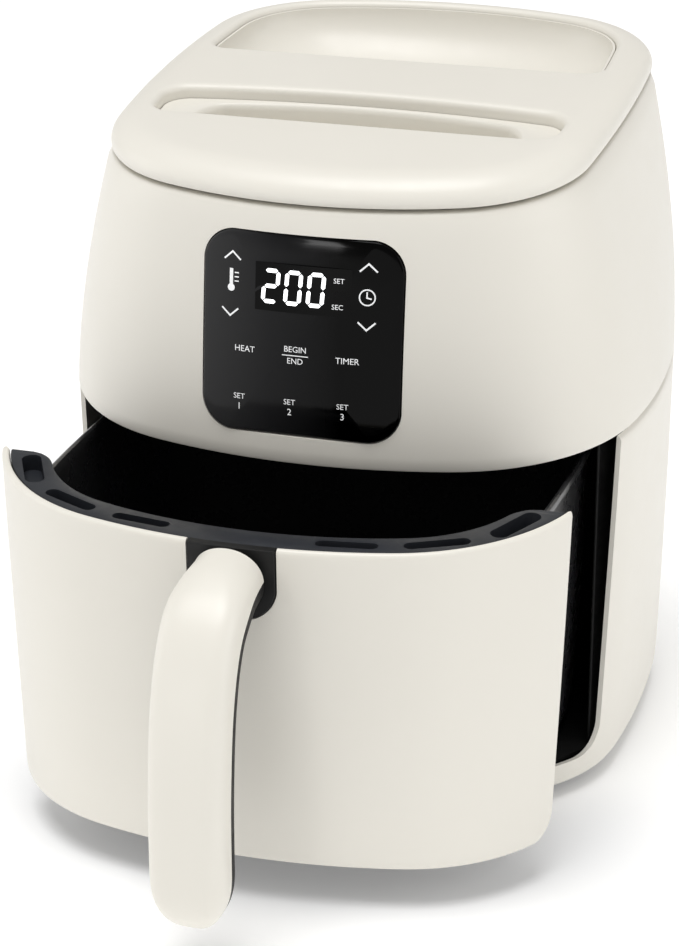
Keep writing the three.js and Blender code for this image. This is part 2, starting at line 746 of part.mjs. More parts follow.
const handleScrewPlaces = sides.map(([side, sx]) => ({ side, x: 5.5 * sx, z: 110.6 }));
const handleScrewRadius = 1.6;
const handleScrewHoles = () => handleScrewPlaces.map(
  ({ x, z }) => pinAlongY(handleScrewRadius + gap, [-103, -60], x, z, 12));

piece(drawer, 'handle_bracket', cut(
  common(
    frontPrism(bracketOutline(0), [-150, -60]),
    cut(bodyLoft(0.6, 1, 2, -0.6), bodyLoft(0.5, 1, 2, wall, 5)),
  ),
  loft([ring(seamShape, -20, (y) => seamHeight(y) - 1.3), ring(seamShape, -20, (y) => seamHeight(y) + 40)]),
  ...handleScrewHoles(),
), blackPlastic);

function pan() {
  const tub = (inset, lift, top) => loft([
    ring(panShape, inset + 11, panBottom + lift),
    ring(panShape, inset + 6, panBottom + 2 + lift),
    ring(panShape, inset + 4, panBottom + 7 + lift),
    ring(panShape, inset, panRim + top),
  ]);
  const rolledRim = loft([
    ring(panShape, 1, panRim - 3),
    ring(panShape, -1.2, panRim - 2.4),
    ring(panShape, -1.2, panRim - 0.6),
    ring(panShape, 0, panRim),
  ]);
  return cut(join(tub(0, 0, 0), rolledRim), tub(1.4, 1.4, 3));
}
piece(drawer, 'pan', pan(), coating);

const airSlots = [
  { x: 34, y: -81.5, length: 20, width: 4.6, turn: 0.12 },
  { x: 61, y: -74, length: 21, width: 5, turn: 0.42 },
  { x: 81.5, y: -56, length: 21, width: 6.5, turn: 1.1 },
];

// The dark collar between the drawer front and the pan, with three air slots on each side.
function trimRing() {
  const collar = cut(
    loft([
      ring(seamShape, wall + gap, (y) => collarTop(y) - trimThickness),
      ring(seamShape, wall + gap, collarTop),
    ]),
    loft([ring(panShape, 2, 100), ring(panShape, 2, 160)]),
    block([-150, 150], [drawerEdge, 200], [0, 200]),
  );
  const slots = airSlots.flatMap(({ x, y, length, width, turn }) => sides.map(([, sx]) => plate(
    roundedRectangle([-length / 2, length / 2], [-width / 2, width / 2], width / 2 - 0.1), [100, 150], 2)
    .rotateZ(turn * sx)
    .translate(x * sx, y, 0)));
  return cut(collar, ...slots);
}
piece(drawer, 'trim_ring', trimRing(), trimPlastic);

// ---------------------------------------------------------------- drawer handle

// The joint plane between the handle's cover and core, seen from the side as [y, z].
const handleSpine = new THREE.CatmullRomCurve3(
  [[-96, 114], [-107, 111], [-119, 101], [-128, 84], [-132, 60], [-132, 36], [-130.5, 15.5]]
    .map(([y, z]) => new THREE.Vector3(0, y, z)));
const handleWidth = 27;
const coverThickness = 12;
const coreThickness = 6;

// Half of a rounded section on one side of the spine, kept lift away from it.
function handleHalf(halfWidth, thickness, lift, squareness) {
  const steps = 10;
  const stations = 16;
  return skin(Array.from({ length: stations + 1 }, (_, station) => {
    const along = station / stations;
    const place = handleSpine.getPointAt(along);
    const tangent = handleSpine.getTangentAt(along);
    const outward = new THREE.Vector3(0, tangent.z, -tangent.y);
    const end = Math.max(0, (along - 0.9) / 0.1);
    const taper = Math.sqrt(1 - 0.9 * end * end);
    return Array.from({ length: steps + 1 }, (__, i) => {
      const angle = (i / steps) * Math.PI;
      const across = Math.sign(Math.cos(angle)) * Math.abs(Math.cos(angle)) ** squareness * halfWidth * taper;
      const out = Math.sin(angle) ** squareness * thickness * taper + lift;
      return place.clone().addScaledVector(outward, out).add(new THREE.Vector3(across, 0, 0));
    }).reverse();
  }).reverse(), fanOut);
}
piece(drawer, 'handle_cover', handleHalf(handleWidth / 2, coverThickness, 0.2, 0.62), cream);
piece(drawer, 'handle_core', cut(
  handleHalf(-(handleWidth / 2 - 0.8), -coreThickness, -0.2, 0.5),
  ...handleScrewHoles(),
), blackPlastic);

// Two screws from inside the drawer front hold the handle through its bracket.
for (const { side, x, z } of handleScrewPlaces) {
  piece(drawer, `handle_screw_${side}`, join(
    pinAlongY(handleScrewRadius, [-102, -89], x, z, 12),
    pinAlongY(3, [-89.4, -87.6], x, z, 12),
  ), steel);
}

// ---------------------------------------------------------------- crisper plate

const crisperBottom = 27;
const crisperTop = 28.6;
const bumperPlaces = sides.flatMap(([side, sx]) => ends.map(
  ([end, sy]) => ({ name: `${end}_${side}`, x: 60 * sx, y: panShape.centre + 54 * sy })));

function crisperPlate() {
  const sheet = loft([ring(panShape, 8, crisperBottom), ring(panShape, 8, crisperTop)]);
  const holes = [];
  for (let row = -2; row <= 2; row += 1) {
    for (let column = -1; column <= 1; column += 1) {
      const [x, y] = [column * 38, row * 22];
      if (Math.hypot(x, y) > 5) {
        const hole = roundedRectangle([x - 13, x + 13], [y - 3, y + 3], 2.9);
        holes.push(plate(hole, [0, 60], 1).translate(0, panShape.centre, 0));
      }
    }
  }
  const bumperHoles = bumperPlaces.map(({ x, y }) => post(2.6, [0, 60], x, y, 10));
  return cut(sheet, ...holes, ...bumperHoles, post(2.2, [0, 60], 0, panShape.centre, 10));
}
piece(drawer, 'crisper_plate', crisperPlate(), coating);

for (const { name, x, y } of bumperPlaces) {
  piece(drawer, `crisper_bumper_${name}`, turned([
    [0, crisperBottom - 8], [3.6, crisperBottom - 8], [4.4, crisperBottom - 0.2], [2.3, crisperBottom - 0.2],
    [2.3, crisperTop + 0.2], [3.6, crisperTop + 0.2], [2.6, crisperTop + 2], [0, crisperTop + 2],
  ], x, y, 12), rubber);
}

piece(drawer, 'crisper_knob', turned([
  [0, crisperBottom - 2], [3.4, crisperBottom - 2], [3.4, crisperBottom - 0.3], [1.9, crisperBottom - 0.3],
  [1.9, crisperTop + 0.3], [3, crisperTop + 0.3], [3, crisperTop + 8], [7, crisperTop + 10],
  [7, crisperTop + 12], [0, crisperTop + 13],
], 0, panShape.centre, 12), blackPlastic);

export default airFryer;
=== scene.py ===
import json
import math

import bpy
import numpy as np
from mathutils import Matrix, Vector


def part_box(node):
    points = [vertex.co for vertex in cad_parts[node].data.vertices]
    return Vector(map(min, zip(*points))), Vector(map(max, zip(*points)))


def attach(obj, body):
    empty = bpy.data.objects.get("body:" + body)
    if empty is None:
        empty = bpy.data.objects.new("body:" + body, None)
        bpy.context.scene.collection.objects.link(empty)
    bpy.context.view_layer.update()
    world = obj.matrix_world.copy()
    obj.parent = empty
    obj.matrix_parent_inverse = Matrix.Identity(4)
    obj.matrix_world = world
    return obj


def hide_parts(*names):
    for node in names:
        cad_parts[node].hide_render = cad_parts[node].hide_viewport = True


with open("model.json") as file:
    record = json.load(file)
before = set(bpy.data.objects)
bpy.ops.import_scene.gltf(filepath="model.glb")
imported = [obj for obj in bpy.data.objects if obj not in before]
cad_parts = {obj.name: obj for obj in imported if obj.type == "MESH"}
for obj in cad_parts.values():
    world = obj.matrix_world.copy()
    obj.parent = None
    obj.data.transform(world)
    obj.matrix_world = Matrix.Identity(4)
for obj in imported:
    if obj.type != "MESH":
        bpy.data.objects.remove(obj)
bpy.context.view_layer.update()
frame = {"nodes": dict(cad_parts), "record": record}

# A compact drawer air fryer on a pale floor, dressed over its CAD frame.
#
# Outlines and heights are worked out in millimetres around the middle of the body, with the
# drawer shut, and are turned into metres in the frame when a mesh is made.

MM = 0.001

# ---------- driving dimensions

WALL = 2.5
LOWER_WALL = 1.6  # of the lower housing
GAP = 0.4  # between two mouldings
SEAM_HEIGHT = 135.5  # between the lower and the upper housing
SEAM_SLOPE = 0.077
LID_HEIGHT = 226  # where the upper housing meets the lid
LID_SLOPE = 0.1
LID_SAG = 0.00027
SHOULDER_BULGE = 1.53  # how late the upper housing turns in towards the lid
LID_RIM = 13.0  # from the lid's edge to its openings
LID_RISE = 9.5  # from the lid's seam to its top
FAN_AXIS_Y = 3.0
DRAWER_EDGE = -44.0  # where the drawer front ends on both sides
DRAWER_CLEARANCE = 0.8  # round the shut drawer front
MOUTH_CORNER = 11.0  # of the housing's opening for it
HANDLE_WIDTH = 25.0

BASE = dict(width=98, front=91.5, back=99.7, centre=4, end=203, side=420, corner=60)
SEAM = dict(width=103, front=93.6, back=106.5, centre=0, end=203, side=204, corner=67)
LID = dict(width=84.8, front=97.6, back=97.6, centre=10.5, end=166, side=650, corner=48)
PAN = dict(width=84.6, front=83.5, back=85.5, centre=3, end=190, side=700, corner=44)


def node_range(node):
    """The lowest and highest corners of a CAD node, in millimetres."""
    low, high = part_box(node)
    return np.array(low) / MM, np.array(high) / MM


def node_middle(node):
    low, high = node_range(node)
    return (low + high) / 2


# How far the body and the pulled-out drawer stand from the place they are worked out at.
BODY_Y = node_middle("motor_shaft")[1] - FAN_AXIS_Y
DRAWER_Y = node_middle("crisper_knob")[1] - PAN["centre"]

BASE_Z = node_range("lower_housing")[0][2]
FRONT_LOW = node_range("drawer_front")[0][2]
RAIL_TOP = FRONT_LOW - DRAWER_CLEARANCE


def seam_height(y):
    return SEAM_HEIGHT + SEAM_SLOPE * y


def lid_height(y):
    return LID_HEIGHT + LID_SLOPE * y - LID_SAG * y * y


# ---------- outlines


def arc(centre, radius, start, end, steps):
    """Points on a circle from one angle towards another, which is left out."""
    angles = np.linspace(start, end, steps, endpoint=False)
    return np.column_stack([centre[0] + radius * np.cos(angles), centre[1] + radius * np.sin(angles)])


def quarter(width, depth, end, side, corner, detail):
    """From the widest point to the middle of the end: three arcs, each tangent to the next."""
    end_centre = np.array([0.0, depth - end])
    side_centre = np.array([width - side, 0.0])
    between = side_centre - end_centre
    distance = np.hypot(*between)
    along = ((end - corner) ** 2 - (side - corner) ** 2 + distance ** 2) / (2 * distance)
    across = math.sqrt((end - corner) ** 2 - along ** 2)
    direction = between / distance
    centre = end_centre + direction * along + np.array([direction[1], -direction[0]]) * across
    side_angle = math.atan2(*(centre - side_centre)[::-1])
    end_angle = math.atan2(*(centre - end_centre)[::-1])
    return np.vstack([
        arc(side_centre, side, 0, side_angle, 4 * detail),
        arc(centre, corner, side_angle, end_angle, 6 * detail),
        arc(end_centre, end, end_angle, math.pi / 2, 4 * detail),
        [[0.0, depth]],
    ])


def outline(shape, inset=0.0, detail=3):
    """The closed outline, counterclockwise from its widest point on the right."""
    radii = [shape[key] - inset for key in ("end", "side", "corner")]
    back = quarter(shape["width"] - inset, shape["back"] - inset, *radii, detail)
    front = quarter(shape["width"] - inset, shape["front"] - inset, *radii, detail)
    points = np.vstack([
        back[:-1],
        (back * [-1, 1])[::-1][:-1],
        (front * [-1, -1])[:-1],
        (front * [1, -1])[::-1][:-1],
    ])
    return points + [0, shape["centre"]]


def blend(first, second, amount):
    return {key: first[key] + (second[key] - first[key]) * amount for key in first}


def lift(points, height):
    """Outline points raised to a height, which is a number or a function of y."""
    heights = height(points[:, 1]) if callable(height) else np.full(len(points), float(height))
    return np.column_stack([points, heights])


def body_height(level, rise=0.0):
    """How high a level of the body lies at y, as a function of y."""
    def height(y):
        if level <= 1:
            return BASE_Z + (seam_height(y) - BASE_Z) * level + rise
        return seam_height(y) + (lid_height(y) - seam_height(y)) * (level - 1) + rise

    return height


def body_ring(level, inset=0.0, rise=0.0):
    """The body's surface: level 0 is the base, 1 the seam over the drawer, 2 the lid seam."""
    if level <= 1:
        shape = blend(BASE, SEAM, level)
    else:
        shape = blend(SEAM, LID, (level - 1) ** SHOULDER_BULGE)
    return lift(outline(shape, inset), body_height(level, rise))


def resample(points, count, closed=True):
    """The same curve with its points spread evenly along it."""
    path = np.vstack([points, points[:1]]) if closed else points
    lengths = np.concatenate([[0], np.cumsum(np.linalg.norm(np.diff(path, axis=0), axis=1))])
    wanted = np.linspace(0, lengths[-1], count, endpoint=not closed)
    return np.column_stack([np.interp(wanted, lengths, path[:, i]) for i in range(path.shape[1])])


def rounded_rectangle(width, height, radius, steps=8):
    x, y = width / 2 - radius, height / 2 - radius
    corners = [(x, y, 0), (-x, y, 1), (-x, -y, 2), (x, -y, 3)]
    return np.vstack([
        arc((cx, cy), radius, turn * math.pi / 2, (turn + 1) * math.pi / 2, steps + 1)
        for cx, cy, turn in corners
    ])


# ---------- meshes


SMOOTH = 35  # edges that turn by more degrees than this stay sharp


def put_in_scene(name, data):
    thing = bpy.data.objects.new(name, data)
    bpy.context.scene.collection.objects.link(thing)
    return thing


def make(name, points, faces, offset_y, smooth=SMOOTH):
    """A mesh object from millimetre points, moved by offset_y into the frame."""
    mesh = bpy.data.meshes.new(name)
    placed = (np.asarray(points, float) + [0, offset_y, 0]) * MM
    mesh.from_pydata(placed.tolist(), [], [tuple(int(i) for i in face) for face in faces])
    mesh.validate()
    thing = put_in_scene(name, mesh)
    soften(thing, smooth)
    return thing


def soften(thing, angle):
    thing.data.shade_smooth()
    thing.data.set_sharp_from_angle(angle=math.radians(angle))


def ring_faces(count, rings, wrap=False):
    """Quads between a stack of rings that all have the same number of points."""
    faces = []
    for level in range(rings if wrap else rings - 1):
        low = level * count
        high = (level + 1) % rings * count
        for i in range(count):
            after = (i + 1) % count
            faces.append((low + i, low + after, high + after, high + i))
    return faces


def across_caps(count, rings):
    """Closes both ends of a mirrored stack with strips across it."""
    faces = []
    top = (rings - 1) * count
    back = count // 4
    for i in range(count // 2):
        left, right = back + i, (back - i) % count
        strip = [left, left + 1, (right - 1) % count, right]
        strip = list(dict.fromkeys(strip))
        faces.append([top + k for k in strip])
        faces.append(strip[::-1])
    return faces


def flat_caps(count, rings):
    top = (rings - 1) * count
    return [list(range(top, top + count)), list(range(count))[::-1]]


def loft(name, rings, offset_y, caps=flat_caps, smooth=SMOOTH):
    count = len(rings[0])
    faces = ring_faces(count, len(rings)) + caps(count, len(rings))
    return make(name, np.vstack(rings), faces, offset_y, smooth)


def hoop(name, rings, offset_y):
    """A closed band: the last ring joins the first again."""
    faces = ring_faces(len(rings[0]), len(rings), wrap=True)
    return make(name, np.vstack(rings), faces, offset_y)


def combine(thing, operation, *tools):
    """Cuts or joins the tools into the thing, and removes them."""
    for tool in tools:
        step = thing.modifiers.new("combine", "BOOLEAN")
        step.operation = operation
        step.object = tool
        step.solver = "EXACT"
        bake(thing)
        bpy.data.objects.remove(tool)
    soften(thing, SMOOTH)
    return thing


def bake(thing):
    """Applies the thing's modifiers."""
    graph = bpy.context.evaluated_depsgraph_get()
    mesh = bpy.data.meshes.new_from_object(thing.evaluated_get(graph))
    thing.modifiers.clear()
    thing.data = mesh
    mesh.name = thing.name


def ease_edges(thing, width, segments=3):
    """Rounds the sharp edges over, as a mould does."""
    step = thing.modifiers.new("ease", "BEVEL")
    step.width = width * MM
    step.segments = segments
    step.limit_method = "ANGLE"
    step.angle_limit = math.radians(50)
    step.harden_normals = True
    bake(thing)
    return thing


def cut(thing, *tools):
    return combine(thing, "DIFFERENCE", *tools)


def box(x, y, z, offset_y):
    corners = [(a, b, c) for c in z for b in y for a in x]
    faces = [(0, 2, 3, 1), (4, 5, 7, 6), (0, 1, 5, 4), (2, 6, 7, 3), (0, 4, 6, 2), (1, 3, 7, 5)]
    return make("box", corners, faces, offset_y)


def front_prism(points, y, offset_y):
    """Points as seen from the front, x and z, drawn out along y."""
    x, z = points.T
    rings = [np.column_stack([x, np.full(len(points), depth), z]) for depth in y[::-1]]
    return loft("prism", rings, offset_y)


def side_prism(points, x, offset_y):
    """Points as seen from the side, y and z, drawn out along x."""
    rings = [np.column_stack([np.full(len(points), across), points]) for across in x]
    return loft("prism", rings, offset_y)


# ---------- materials


class Finish:
    """A Principled material and the nodes that shade it."""

    def __init__(self, name, roughness, metallic=0.0, **sockets):
        self.material = bpy.data.materials.new(name)
        self.material.use_nodes = True
        self.tree = self.material.node_tree
        self.shader = self.tree.nodes["Principled BSDF"]
        self.shader.inputs["Roughness"].default_value = roughness
        self.shader.inputs["Metallic"].default_value = metallic
        for socket, value in sockets.items():
            self.shader.inputs[socket.replace("_", " ")].default_value = value
        self.place = self.tree.nodes.new("ShaderNodeTexCoord").outputs["Object"]

    def noise(self, scale, detail=3.0, stretch=(1, 1, 1)):
        place = self.place
        if stretch != (1, 1, 1):
            mapping = self.tree.nodes.new("ShaderNodeMapping")
            mapping.inputs["Scale"].default_value = stretch
            self.tree.links.new(place, mapping.inputs["Vector"])
            place = mapping.outputs["Vector"]
        node = self.tree.nodes.new("ShaderNodeTexNoise")
        node.inputs["Scale"].default_value = scale
        node.inputs["Detail"].default_value = detail
        self.tree.links.new(place, node.inputs["Vector"])
        return node.outputs["Fac"]

    def specks(self, scale, size):
        node = self.tree.nodes.new("ShaderNodeTexVoronoi")
        node.inputs["Scale"].default_value = scale
        self.tree.links.new(self.place, node.inputs["Vector"])
        return self.ramp(node.outputs["Distance"], [(0.0, 1.0), (size, 0.0)])

    def ramp(self, value, stops):
        """Maps a value through grey or coloured stops."""
        node = self.tree.nodes.new("ShaderNodeValToRGB")
        elements = node.color_ramp.elements
        while len(elements) < len(stops):
            elements.new(0.5)
        for element, (place, shade) in zip(elements, stops):
            element.position = place
            element.color = (*shade, 1) if isinstance(shade, tuple) else (shade, shade, shade, 1)
        self.tree.links.new(value, node.inputs["Fac"])
        return node.outputs["Color"]

    def along(self, axis):
        node = self.tree.nodes.new("ShaderNodeSeparateXYZ")
        self.tree.links.new(self.place, node.inputs["Vector"])
        return node.outputs[axis]

    def span(self, value, low, high):
        """Stretches low..high to 0..1."""
        node = self.tree.nodes.new("ShaderNodeMapRange")
        node.inputs["From Min"].default_value = low
        node.inputs["From Max"].default_value = high
        self.tree.links.new(value, node.inputs["Value"])
        return node.outputs["Result"]

    def drive(self, socket, value):
        self.tree.links.new(value, self.shader.inputs[socket])

    def vary(self, socket, value, *stops):
        self.drive(socket, self.ramp(value, stops))

    def bump(self, *layers):
        """Each layer is a height, its strength and its depth in millimetres."""
        normal = None
        for height, strength, depth in layers:
            node = self.tree.nodes.new("ShaderNodeBump")
            node.inputs["Strength"].default_value = strength
            node.inputs["Distance"].default_value = depth * MM
            self.tree.links.new(height, node.inputs["Height"])
            if normal is not None:
                self.tree.links.new(normal, node.inputs["Normal"])
            normal = node.outputs["Normal"]
        self.tree.links.new(normal, self.shader.inputs["Normal"])
        return self


def cream_plastic():
    finish = Finish("cream_plastic", 0.4, Coat_Weight=0.08, Coat_Roughness=0.3)
    cloud = finish.noise(9, detail=2)
    shades = [(0.3, (0.825, 0.796, 0.722)), (0.7, (0.845, 0.817, 0.745))]
    finish.vary("Base Color", cloud, *shades)
    finish.vary("Roughness", finish.noise(160), (0.3, 0.36), (0.7, 0.44))
    return finish.bump((finish.noise(2600, 2), 0.10, 0.05), (finish.noise(260, 1), 0.06, 0.08)).material


def textured_black():
    finish = Finish("black_plastic", 0.5, Specular_IOR_Level=0.22)
    finish.vary("Base Color", finish.noise(60), (0.35, 0.010), (0.7, 0.017))
    finish.vary("Roughness", finish.noise(300), (0.3, 0.42), (0.7, 0.56))
    return finish.bump((finish.noise(2200, 4), 0.35, 0.12)).material


def trim_plastic():
    finish = Finish("trim_plastic", 0.4, Specular_IOR_Level=0.35)
    shades = [(0.35, (0.020, 0.022, 0.027)), (0.7, (0.030, 0.033, 0.040))]
    finish.vary("Base Color", finish.noise(45), *shades)
    finish.vary("Roughness", finish.noise(220), (0.3, 0.33), (0.7, 0.43))
    return finish.bump((finish.noise(1900, 3), 0.2, 0.08)).material


def panel_gloss():
    """Black glass with a painted reflection that makes it a little paler towards its left edge, and
    with faint wipe marks.
    """
    finish = Finish("panel_gloss", 0.08, Specular_IOR_Level=0.1)
    half_width = 34 * MM
    # painted reflection: the base colour runs from dark grey at the left edge to black on the right
    across = finish.span(finish.along("X"), -half_width, half_width)
    shades = [(0.0, (0.040, 0.040, 0.041)), (0.35, (0.014, 0.014, 0.015)), (0.7, (0.0, 0.0, 0.0))]
    finish.vary("Base Color", across, *shades)
    finish.vary("Roughness", finish.noise(40, 5, (1, 1, 3)), (0.4, 0.05), (0.75, 0.12))
    return finish.bump((finish.noise(30, 1), 0.02, 0.1)).material


def display_window():
    """The darker, smoother patch of the glass that the display shines through."""
    finish = Finish("display_window", 0.06, Specular_IOR_Level=0.08)
    finish.vary("Base Color", finish.noise(50), (0.3, 0.0015), (0.7, 0.0035))
    return finish.material


def nonstick():
    finish = Finish("nonstick", 0.3, Coat_Weight=0.25, Coat_Roughness=0.15)
    flecks = finish.specks(900, 0.16)
    shades = [(0.0, (0.020, 0.020, 0.021)), (1.0, (0.055, 0.055, 0.058))]
    finish.vary("Base Color", flecks, *shades)
    finish.vary("Roughness", finish.noise(120, 4), (0.3, 0.22), (0.7, 0.36))
    return finish.bump((finish.noise(1500, 3), 0.15, 0.06)).material


def rubber():
    finish = Finish("rubber", 0.85)
    finish.vary("Base Color", finish.noise(80), (0.3, 0.012), (0.7, 0.02))
    return finish.bump((finish.noise(1200, 4), 0.4, 0.15)).material


def metal(name, pale, dark, roughness, stretch):
    finish = Finish(name, roughness, metallic=1.0)
    grain = finish.noise(400, 4, stretch)
    finish.vary("Base Color", grain, (0.3, dark), (0.7, pale))
    finish.vary("Roughness", grain, (0.3, roughness - 0.08), (0.7, roughness + 0.08))
    return finish.bump((grain, 0.12, 0.05)).material


def circuit_board():
    finish = Finish("circuit_board", 0.45)
    shades = [(0.0, (0.01, 0.07, 0.03)), (1.0, (0.03, 0.16, 0.07))]
    finish.vary("Base Color", finish.specks(300, 0.35), *shades)
    return finish.bump((finish.noise(500), 0.2, 0.1)).material


def small_plastic(name, pale, dark):
    finish = Finish(name, 0.5)
    finish.vary("Base Color", finish.noise(200), (0.3, dark), (0.7, pale))
    return finish.bump((finish.noise(1500), 0.2, 0.1)).material


def lit_white(name, strength):
    """Printed or lit marks, very slightly uneven."""
    finish = Finish(name, 0.4, Emission_Strength=strength)
    shade = finish.ramp(finish.noise(900, 2), [(0.3, (0.80, 0.81, 0.82)), (0.7, (0.92, 0.93, 0.94))])
    finish.drive("Base Color", shade)
    finish.drive("Emission Color", shade)
    return finish.material


SLOTS = {
    "cream_plastic": cream_plastic(),
    "black_plastic": textured_black(),
    "trim_plastic": trim_plastic(),
    "panel_gloss": panel_gloss(),
    "nonstick": nonstick(),
    "rubber": rubber(),
    "steel": metal("steel", (0.62, 0.62, 0.63), (0.42, 0.42, 0.43), 0.3, (1, 8, 1)),
    "galvanised": metal("galvanised", (0.52, 0.53, 0.54), (0.36, 0.37, 0.38), 0.42, (1, 1, 1)),
    "aluminium": metal("aluminium", (0.72, 0.73, 0.74), (0.55, 0.56, 0.57), 0.35, (6, 1, 1)),
    "element": metal("element", (0.2, 0.19, 0.18), (0.09, 0.08, 0.08), 0.5, (1, 1, 1)),
    "circuit_board": circuit_board(),
    "fuse_ceramic": small_plastic("fuse_ceramic", (0.75, 0.73, 0.68), (0.66, 0.64, 0.58)),
    "switch_red": small_plastic("switch_red", (0.42, 0.05, 0.03), (0.33, 0.03, 0.02)),
}
PRINT = lit_white("panel_print", 0.25)
DISPLAY = lit_white("panel_display", 1.6)
WINDOW = display_window()

for entry in frame["record"]["subparts"]:
    node = frame["nodes"][entry["node"]]
    node.data.materials.clear()
    node.data.materials.append(SLOTS[entry["material_slot"]])
    soften(node, 30)


def dress(thing, slot, body, *nodes):
    """Gives a piece its finish and its body, and lets it stand for its CAD nodes."""
    thing.data.materials.clear()
    thing.data.materials.append(SLOTS[slot])
    if nodes:
        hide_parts(*nodes)
    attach(thing, body)
    return thing


# ---------- housings


GLASS_MIDDLE = node_middle("control_glass")[2]


def front_outline(node, grow, radius, steps):
    """A CAD node's rounded rectangle as seen from the front, made larger all round."""
    low, high = node_range(node)
    width, height = high[0] - low[0] + 2 * grow, high[2] - low[2] + 2 * grow
    return rounded_rectangle(width, height, radius + grow, steps) + [0, (low[2] + high[2]) / 2]


def glass_outline(grow):
    return front_outline("control_glass", grow, 11.0, 12)


def vent_outline(grow):
    return front_outline("rear_vent_grille", grow, 5.0, 8)


def wall_band(name, low, high, count, outer, offset_y):
    """A band of the body's wall between two levels, with its outside moved in by outer."""
    up = [body_ring(level, outer) for level in np.linspace(low, high, count)]
    down = [body_ring(level, WALL) for level in np.linspace(high, low, count)]
    return hoop(name, up + down, offset_y)


def upper_housing():
    under = GAP
    top = -1.3
    flange = WALL + 4
    profile = [
        (1, 0.9, under), (1, 0.35, under + 0.25), (1, 0.0, under + 1.1),
        *[(level, 0.0, 0.0) for level in np.linspace(1.06, 1.94, 18)],
        (2, 0.0, top - 1.6), (2, 0.25, top - 0.7), (2, 0.9, top - 0.1), (2, 1.6, top),
        (2, flange - 0.8, top), (2, flange, top - 0.6), (2, flange, top - WALL),
        *[(level, WALL, 0.0) for level in np.linspace(1.92, 1.06, 8)],
        (1, WALL, under + 0.4), (1, WALL - 0.4, under),
    ]
    shell = hoop("upper_shell", [body_ring(*row) for row in profile], BODY_Y)
    window = front_prism(glass_outline(GAP), (-120, -60), BODY_Y)
    vent = front_prism(vent_outline(GAP), (60, 120), BODY_Y)
    return cut(shell, window, vent)


def lower_housing():
    profile = [
        (0, 5.0, 0.0), (0, 3.2, 0.25), (0, 1.6, 1.1), (0, 0.6, 2.6), (0, 0.15, 4.4), (0, 0.0, 6.5),
        *[(level, 0.0, 0.0) for level in np.linspace(0.1, 0.96, 12)],
        (1, 0.0, -2.6), (1, 0.5, -1.4), (1, 1.2, -0.6), (1, LOWER_WALL - 0.3, -GAP),
        (1, LOWER_WALL, -1.0),
        *[(level, LOWER_WALL, 0.0) for level in np.linspace(0.9, 0.1, 4)],
        (0, LOWER_WALL, 3.0),
    ]
    shell = hoop("lower_shell", [body_ring(*row) for row in profile], BODY_Y)
    edge = DRAWER_EDGE + DRAWER_CLEARANCE
    radius = MOUTH_CORNER
    front, above = -150, 200
    mouth = np.vstack([
        [(front, RAIL_TOP)],
        arc((edge - radius, RAIL_TOP + radius), radius, -math.pi / 2, 0, 12),
        [(edge, RAIL_TOP + radius), (edge, above), (front, above)],
    ])
    cut(shell, side_prism(mouth, (-150, 150), BODY_Y))
    return ease_edges(shell, 0.5)


dress(upper_housing(), "cream_plastic", "housing", "upper_housing")
dress(lower_housing(), "cream_plastic", "housing", "lower_housing")

# ---------- lid

SLOT_FRONT, SLOT_BACK, BAR_BACK = -40.0, -17.5, 25.5
SLOT_BOW = 5.5  # the slot's back edge curves away by this much in the middle


def reach(ring, y):
    """How far an outline reaches to the right at y."""
    side = ring[ring[:, 0] > 0]
    side = side[np.argsort(side[:, 1])]
    return np.interp(y, side[:, 1], side[:, 0])


def lid_band(grow, y0, y1, radius):
    """The lid's inner outline between two values of y, with its cut corners rounded."""
    radius += grow
    y0 -= grow
    ring = outline(LID, LID_RIM - grow, 6)
    low_x = reach(ring, y0 + radius)
    parts = [
        arc((-low_x + radius, y0 + radius), radius, math.pi, 1.5 * math.pi, 10),
        arc((low_x - radius, y0 + radius), radius, 1.5 * math.pi, 2 * math.pi, 10),
    ]
    if y1 is None:
        behind = ring[ring[:, 1] > y0 + radius + 0.5]
        parts.append(behind[np.argsort(np.arctan2(behind[:, 1] - y0, behind[:, 0]))])
    else:
        y1 += grow
        high_x = reach(ring, y1 - radius)
        parts.append(arc((high_x - radius, y1 - radius), radius, 0, math.pi / 2, 10))
        parts.append(arc((-high_x + radius, y1 - radius), radius, math.pi / 2, math.pi, 10))
    ring = resample(np.vstack(parts), 160)
    if y1 is not None:
        half = ring[:, 0].max()
        ring[:, 1] += SLOT_BOW * (1 - (ring[:, 0] / half) ** 2) * (ring[:, 1] - y0) / (y1 - y0)
    return ring


def band_cutter(y0, y1, radius, ease):
    """A plug that flares where it meets the lid's top, so that it leaves a rounded edge."""
    rows = [(0.0, -40.0), (0.0, -ease)]
    rows += [(ease * (1 - math.cos(a)), -ease * (1 - math.sin(a))) for a in np.linspace(0.25, 1.4, 6)]
    rows += [(ease * 1.02, 0.02), (ease * 1.05, 8.0)]
    rings = [
        lift(lid_band(grow, y0, y1, radius), lambda y, up=up: lid_height(y) + LID_RISE + up)
        for grow, up in rows
    ]
    return loft("band", rings, BODY_Y)


def plain_band(grow, y0, y1, radius):
    rings = [lift(lid_band(grow, y0, y1, radius), height) for height in (185, 265)]
    return loft("band", rings, BODY_Y)


def lid_block(inset, drop, bottom):
    """The lid's outer form: a rolled edge that runs into the gently curved top."""
    rows = [(1.2, 0.0), (0.5, 0.25), (0.1, 0.9)]
    start, width = 2.0, 12.0  # where the roll starts, and its width
    for turn in np.linspace(0, 1.45, 12):
        rows.append((width * (1 - math.cos(turn)), start + (LID_RISE - start) * math.sin(turn)))
    rows += [(width + 2.0, LID_RISE), (30.0, LID_RISE)]
    rings = [
        lift(outline(LID, across + inset), lambda y, up=up: lid_height(y) + up - drop)
        for across, up in rows
    ]
    rings[0] = lift(outline(LID, rows[0][0] + inset), lambda y: lid_height(y) + bottom)
    return loft("lid", rings, BODY_Y, across_caps)


SLOT = (SLOT_FRONT, SLOT_BACK, 8.0)
RECESS = (BAR_BACK, None, 7.0)


